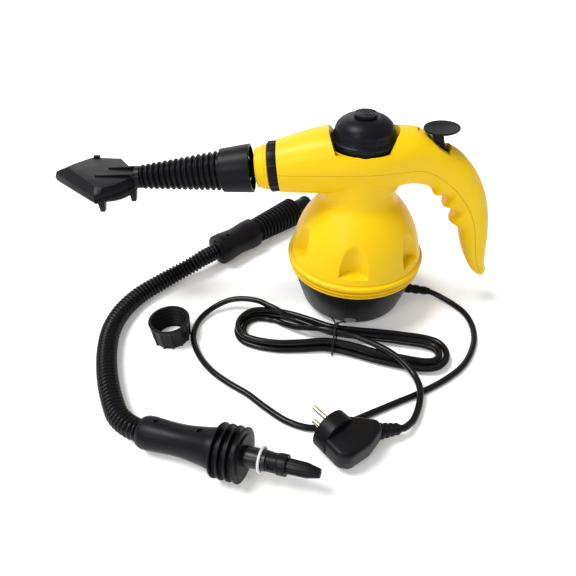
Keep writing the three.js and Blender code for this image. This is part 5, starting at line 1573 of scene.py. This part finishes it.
def gun_shells():
    profile = [(0, 0), *gun.skin[:2], *catmull_rom(gun.skin[2:], 6)]
    root = gun.skin[-1][0]
    for i in range(gun.discs):
        start = gun.first_disc + i * gun.disc_pitch
        end = start + gun.disc_thickness
        profile += [(root, start), (gun.disc_radius, start), (gun.disc_radius, end), (root, end)]
    profile += [(root, gun.length), (0, gun.length)]
    shell = lathe("gun", rounded(profile, edge, 3), 144)
    front, mouth = gun.length - gun.wall, gun_spout.radius + gap
    hollow = [
        (0, -overrun), (gun.rear_bore, -overrun), (gun.rear_bore, gun.rear_depth),
        (gun.inner, gun.rear_depth + gun.wall), (gun.inner, front), (mouth, front),
        (mouth, gun.length + overrun), (0, gun.length + overrun),
    ]
    hole_top = gun.skin[2][0]
    recesses = [screw_recess(x, gun.hole_side, gun.hole, hole_top, gun.hole_depth) for x in gun.hole_places]
    split_shell("gun", shell, hollow, 0, gun.length, gun.disc_radius, recesses, gun_frame)


def gun_front():
    """The gun's spout with its seal, and the jet nozzle that turns on it."""
    where = gun_frame @ along_x
    root_end = gun.length - gun.wall - gap
    root_start = root_end - gun_spout.root_length
    neck_end = jet.start - gap
    tip_end = neck_end + gun_spout.tip_length
    steps = ((gun_spout.root_radius, root_end), (gun_spout.radius, neck_end), (gun_spout.tip_radius, tip_end))
    barrel = rounded(stacked(gun_spout.bore, root_start, *steps), closed=True)
    barrel = placed(lathe("gun_barrel", barrel), where)
    finished(barrel, "hose_set", "black_plastic", "gun_spout", material="black_gloss")

    wire, middle = o_ring.wire, gun_spout.radius + gap + o_ring.wire
    turns = [full * i / o_ring.steps for i in range(o_ring.steps)]
    section = [(middle + wire * math.cos(turn), o_ring.place + wire * math.sin(turn)) for turn in turns]
    turned("gun_seal", section, where, "hose_set", "white_plastic", "gun_o_ring", angle=60)

    step, collar_out = jet.start + jet.step, jet.collar_radius + jet.step_height
    collar_profile = [
        (0, jet.start), (jet.collar_radius, jet.start), (jet.collar_radius, step),
        (collar_out, step + jet.step_length), (collar_out, jet.collar_to), (0, jet.collar_to),
    ]
    tip = placed(lathe("jet_tip", rounded(collar_profile, fine_edge, 3)), along_x)
    xs = (jet.window_start, jet.window_start + jet.window_length)
    ys = (-jet.window_width / 2, jet.window_width / 2)
    zs = (jet.collar_radius - jet.window_depth, jet.collar_radius + jet.window_reach)
    for i in range(jet.windows):
        turn = half / jet.windows + full * i / jet.windows
        cut(tip, placed(block("window", xs, ys, zs), about("X", turn)))

    def faceted(radius, height, angle):
        place = share_of_step(angle, jet.sides)
        return radius * (1 - jet.facet_share * smooth_step(1 - abs(2 * place - 1)))

    cone_profile = [
        (0, jet.collar_to - overrun), (jet.root_radius, jet.collar_to - overrun),
        (jet.root_radius * jet.shoulder_share, jet.end - jet.shoulder), (jet.tip_radius, jet.end - jet.tip),
        (jet.tip_radius * jet.tip_share, jet.end), (0, jet.end),
    ]
    cone = placed(lathe("jet_cone", rounded(cone_profile, edge, 3), 96, faceted), along_x)
    socket = lathe("socket", rod(gun_spout.tip_radius + gap, jet.start - overrun, tip_end + gap), 64)
    outlet = lathe("outlet", rod(jet.bore, jet.start, jet.end + overrun), 32)
    cut(union(tip, cone), placed(socket, along_x), placed(outlet, along_x))
    finished(placed(tip, gun_frame), "jet", "black_plastic", "jet_nozzle", angle=36)


# Ring nut

def nut_piece():
    height = nut.height

    def radius_at(z):
        return nut.bottom_radius + (nut.top_radius - nut.bottom_radius) * z / height

    rows = [height * i / nut.rows for i in range(nut.rows + 1)]
    profile = [(radius_at(z), z) for z in rows]
    pitch = height / nut.threads
    for i in range(nut.threads * nut.thread_steps, -1, -1):
        z = pitch * i / nut.thread_steps
        swell = math.sin(full * i / nut.thread_steps) * 0.5 + 0.5
        profile.append((radius_at(z) - nut.wall - nut.thread_depth * swell, z))

    def gripped(radius, z, angle):
        if radius < radius_at(z) - nut.wall / 2:
            return radius
        span = abs(share_of_step(angle, nut.grips) - 0.5) * 2
        ridge = smooth_step((nut.grip_share - span) / nut.grip_slope)
        fade = smooth_step((height * nut.grip_top - z) * nut.grip_fade)
        return radius - nut.grip_height * (1 - ridge) * fade

    piece = lathe("threaded_nut", rounded(profile, fine_edge, 2, closed=True), nut.sides, gripped)
    finished(placed(piece, at(*nut.centre)), "loose_nut", "black_plastic", "ring_nut", angle=48)


# Pieces inside

def paint_inner_nodes():
    for finish, names in inner_finish.items():
        for name in names:
            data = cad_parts[name].data
            data.materials.clear()
            data.materials.append(materials[finish])


# Stage

def make_stage():
    size = stage.size
    corners = [(-size, -size, 0), (size, -size, 0), (size, size, 0), (-size, size, 0)]
    floor = mesh_piece("floor", corners, [(0, 1, 2, 3)])
    material, nodes, links, shader = node_material("floor")
    cloud = noise_node(nodes, links, stage.mottling, 2)
    bright = [part * stage.uneven for part in stage.tone]
    spread(nodes, links, cloud, texture.blend, stage.tone, bright, shader.inputs["Base Color"])
    shader.inputs["Roughness"].default_value = stage.roughness
    shader.inputs["Specular IOR Level"].default_value = stage.highlight
    shader.inputs["Emission Color"].default_value = (1, 1, 1, 1)
    shader.inputs["Emission Strength"].default_value = stage.glow
    floor.data.materials.append(material)


def aimed(lamp, ahead, place):
    """Sets a lamp at its place, looking ahead."""
    lamp.matrix_world = at(*place) @ ahead.to_track_quat("-Z", "Y").to_matrix().to_4x4()


def make_lights():
    data = bpy.data.lights.new("key", "SUN")
    data.energy = sun.strength
    data.angle = sun.spread
    aimed(linked("key", data), -Vector(sun.place), (0, 0, 0))
    for name, (place, aim, size, power) in lamps.items():
        data = bpy.data.lights.new(name, "AREA")
        data.shape = "RECTANGLE"
        data.size, data.size_y = size
        data.energy = power
        aimed(linked(name, data), Vector(aim) - Vector(place), place)
    world = bpy.data.worlds.new("studio")
    world.use_nodes = True
    background = world.node_tree.nodes["Background"]
    background.inputs["Color"].default_value = (1, 1, 1, 1)
    background.inputs["Strength"].default_value = stage.sky
    bpy.context.scene.world = world
    bpy.context.scene.view_settings.view_transform = "Standard"
    bpy.context.scene.view_settings.look = "None"


make_camera()
lead, lead_line = power_cord()
tie_piece = twist_tie()
plug_set = plug_pieces()
strain_relief()
hose_piece, hose_path = ribbed_hose()
base_pieces()
housing_pieces()
cap_pieces()
trigger_piece()
nose_pieces()
nozzle_piece()
head_pieces()
hose_line_pieces()
gun_shells()
gun_front()
nut_piece()
paint_inner_nodes()
make_stage()
make_lights()
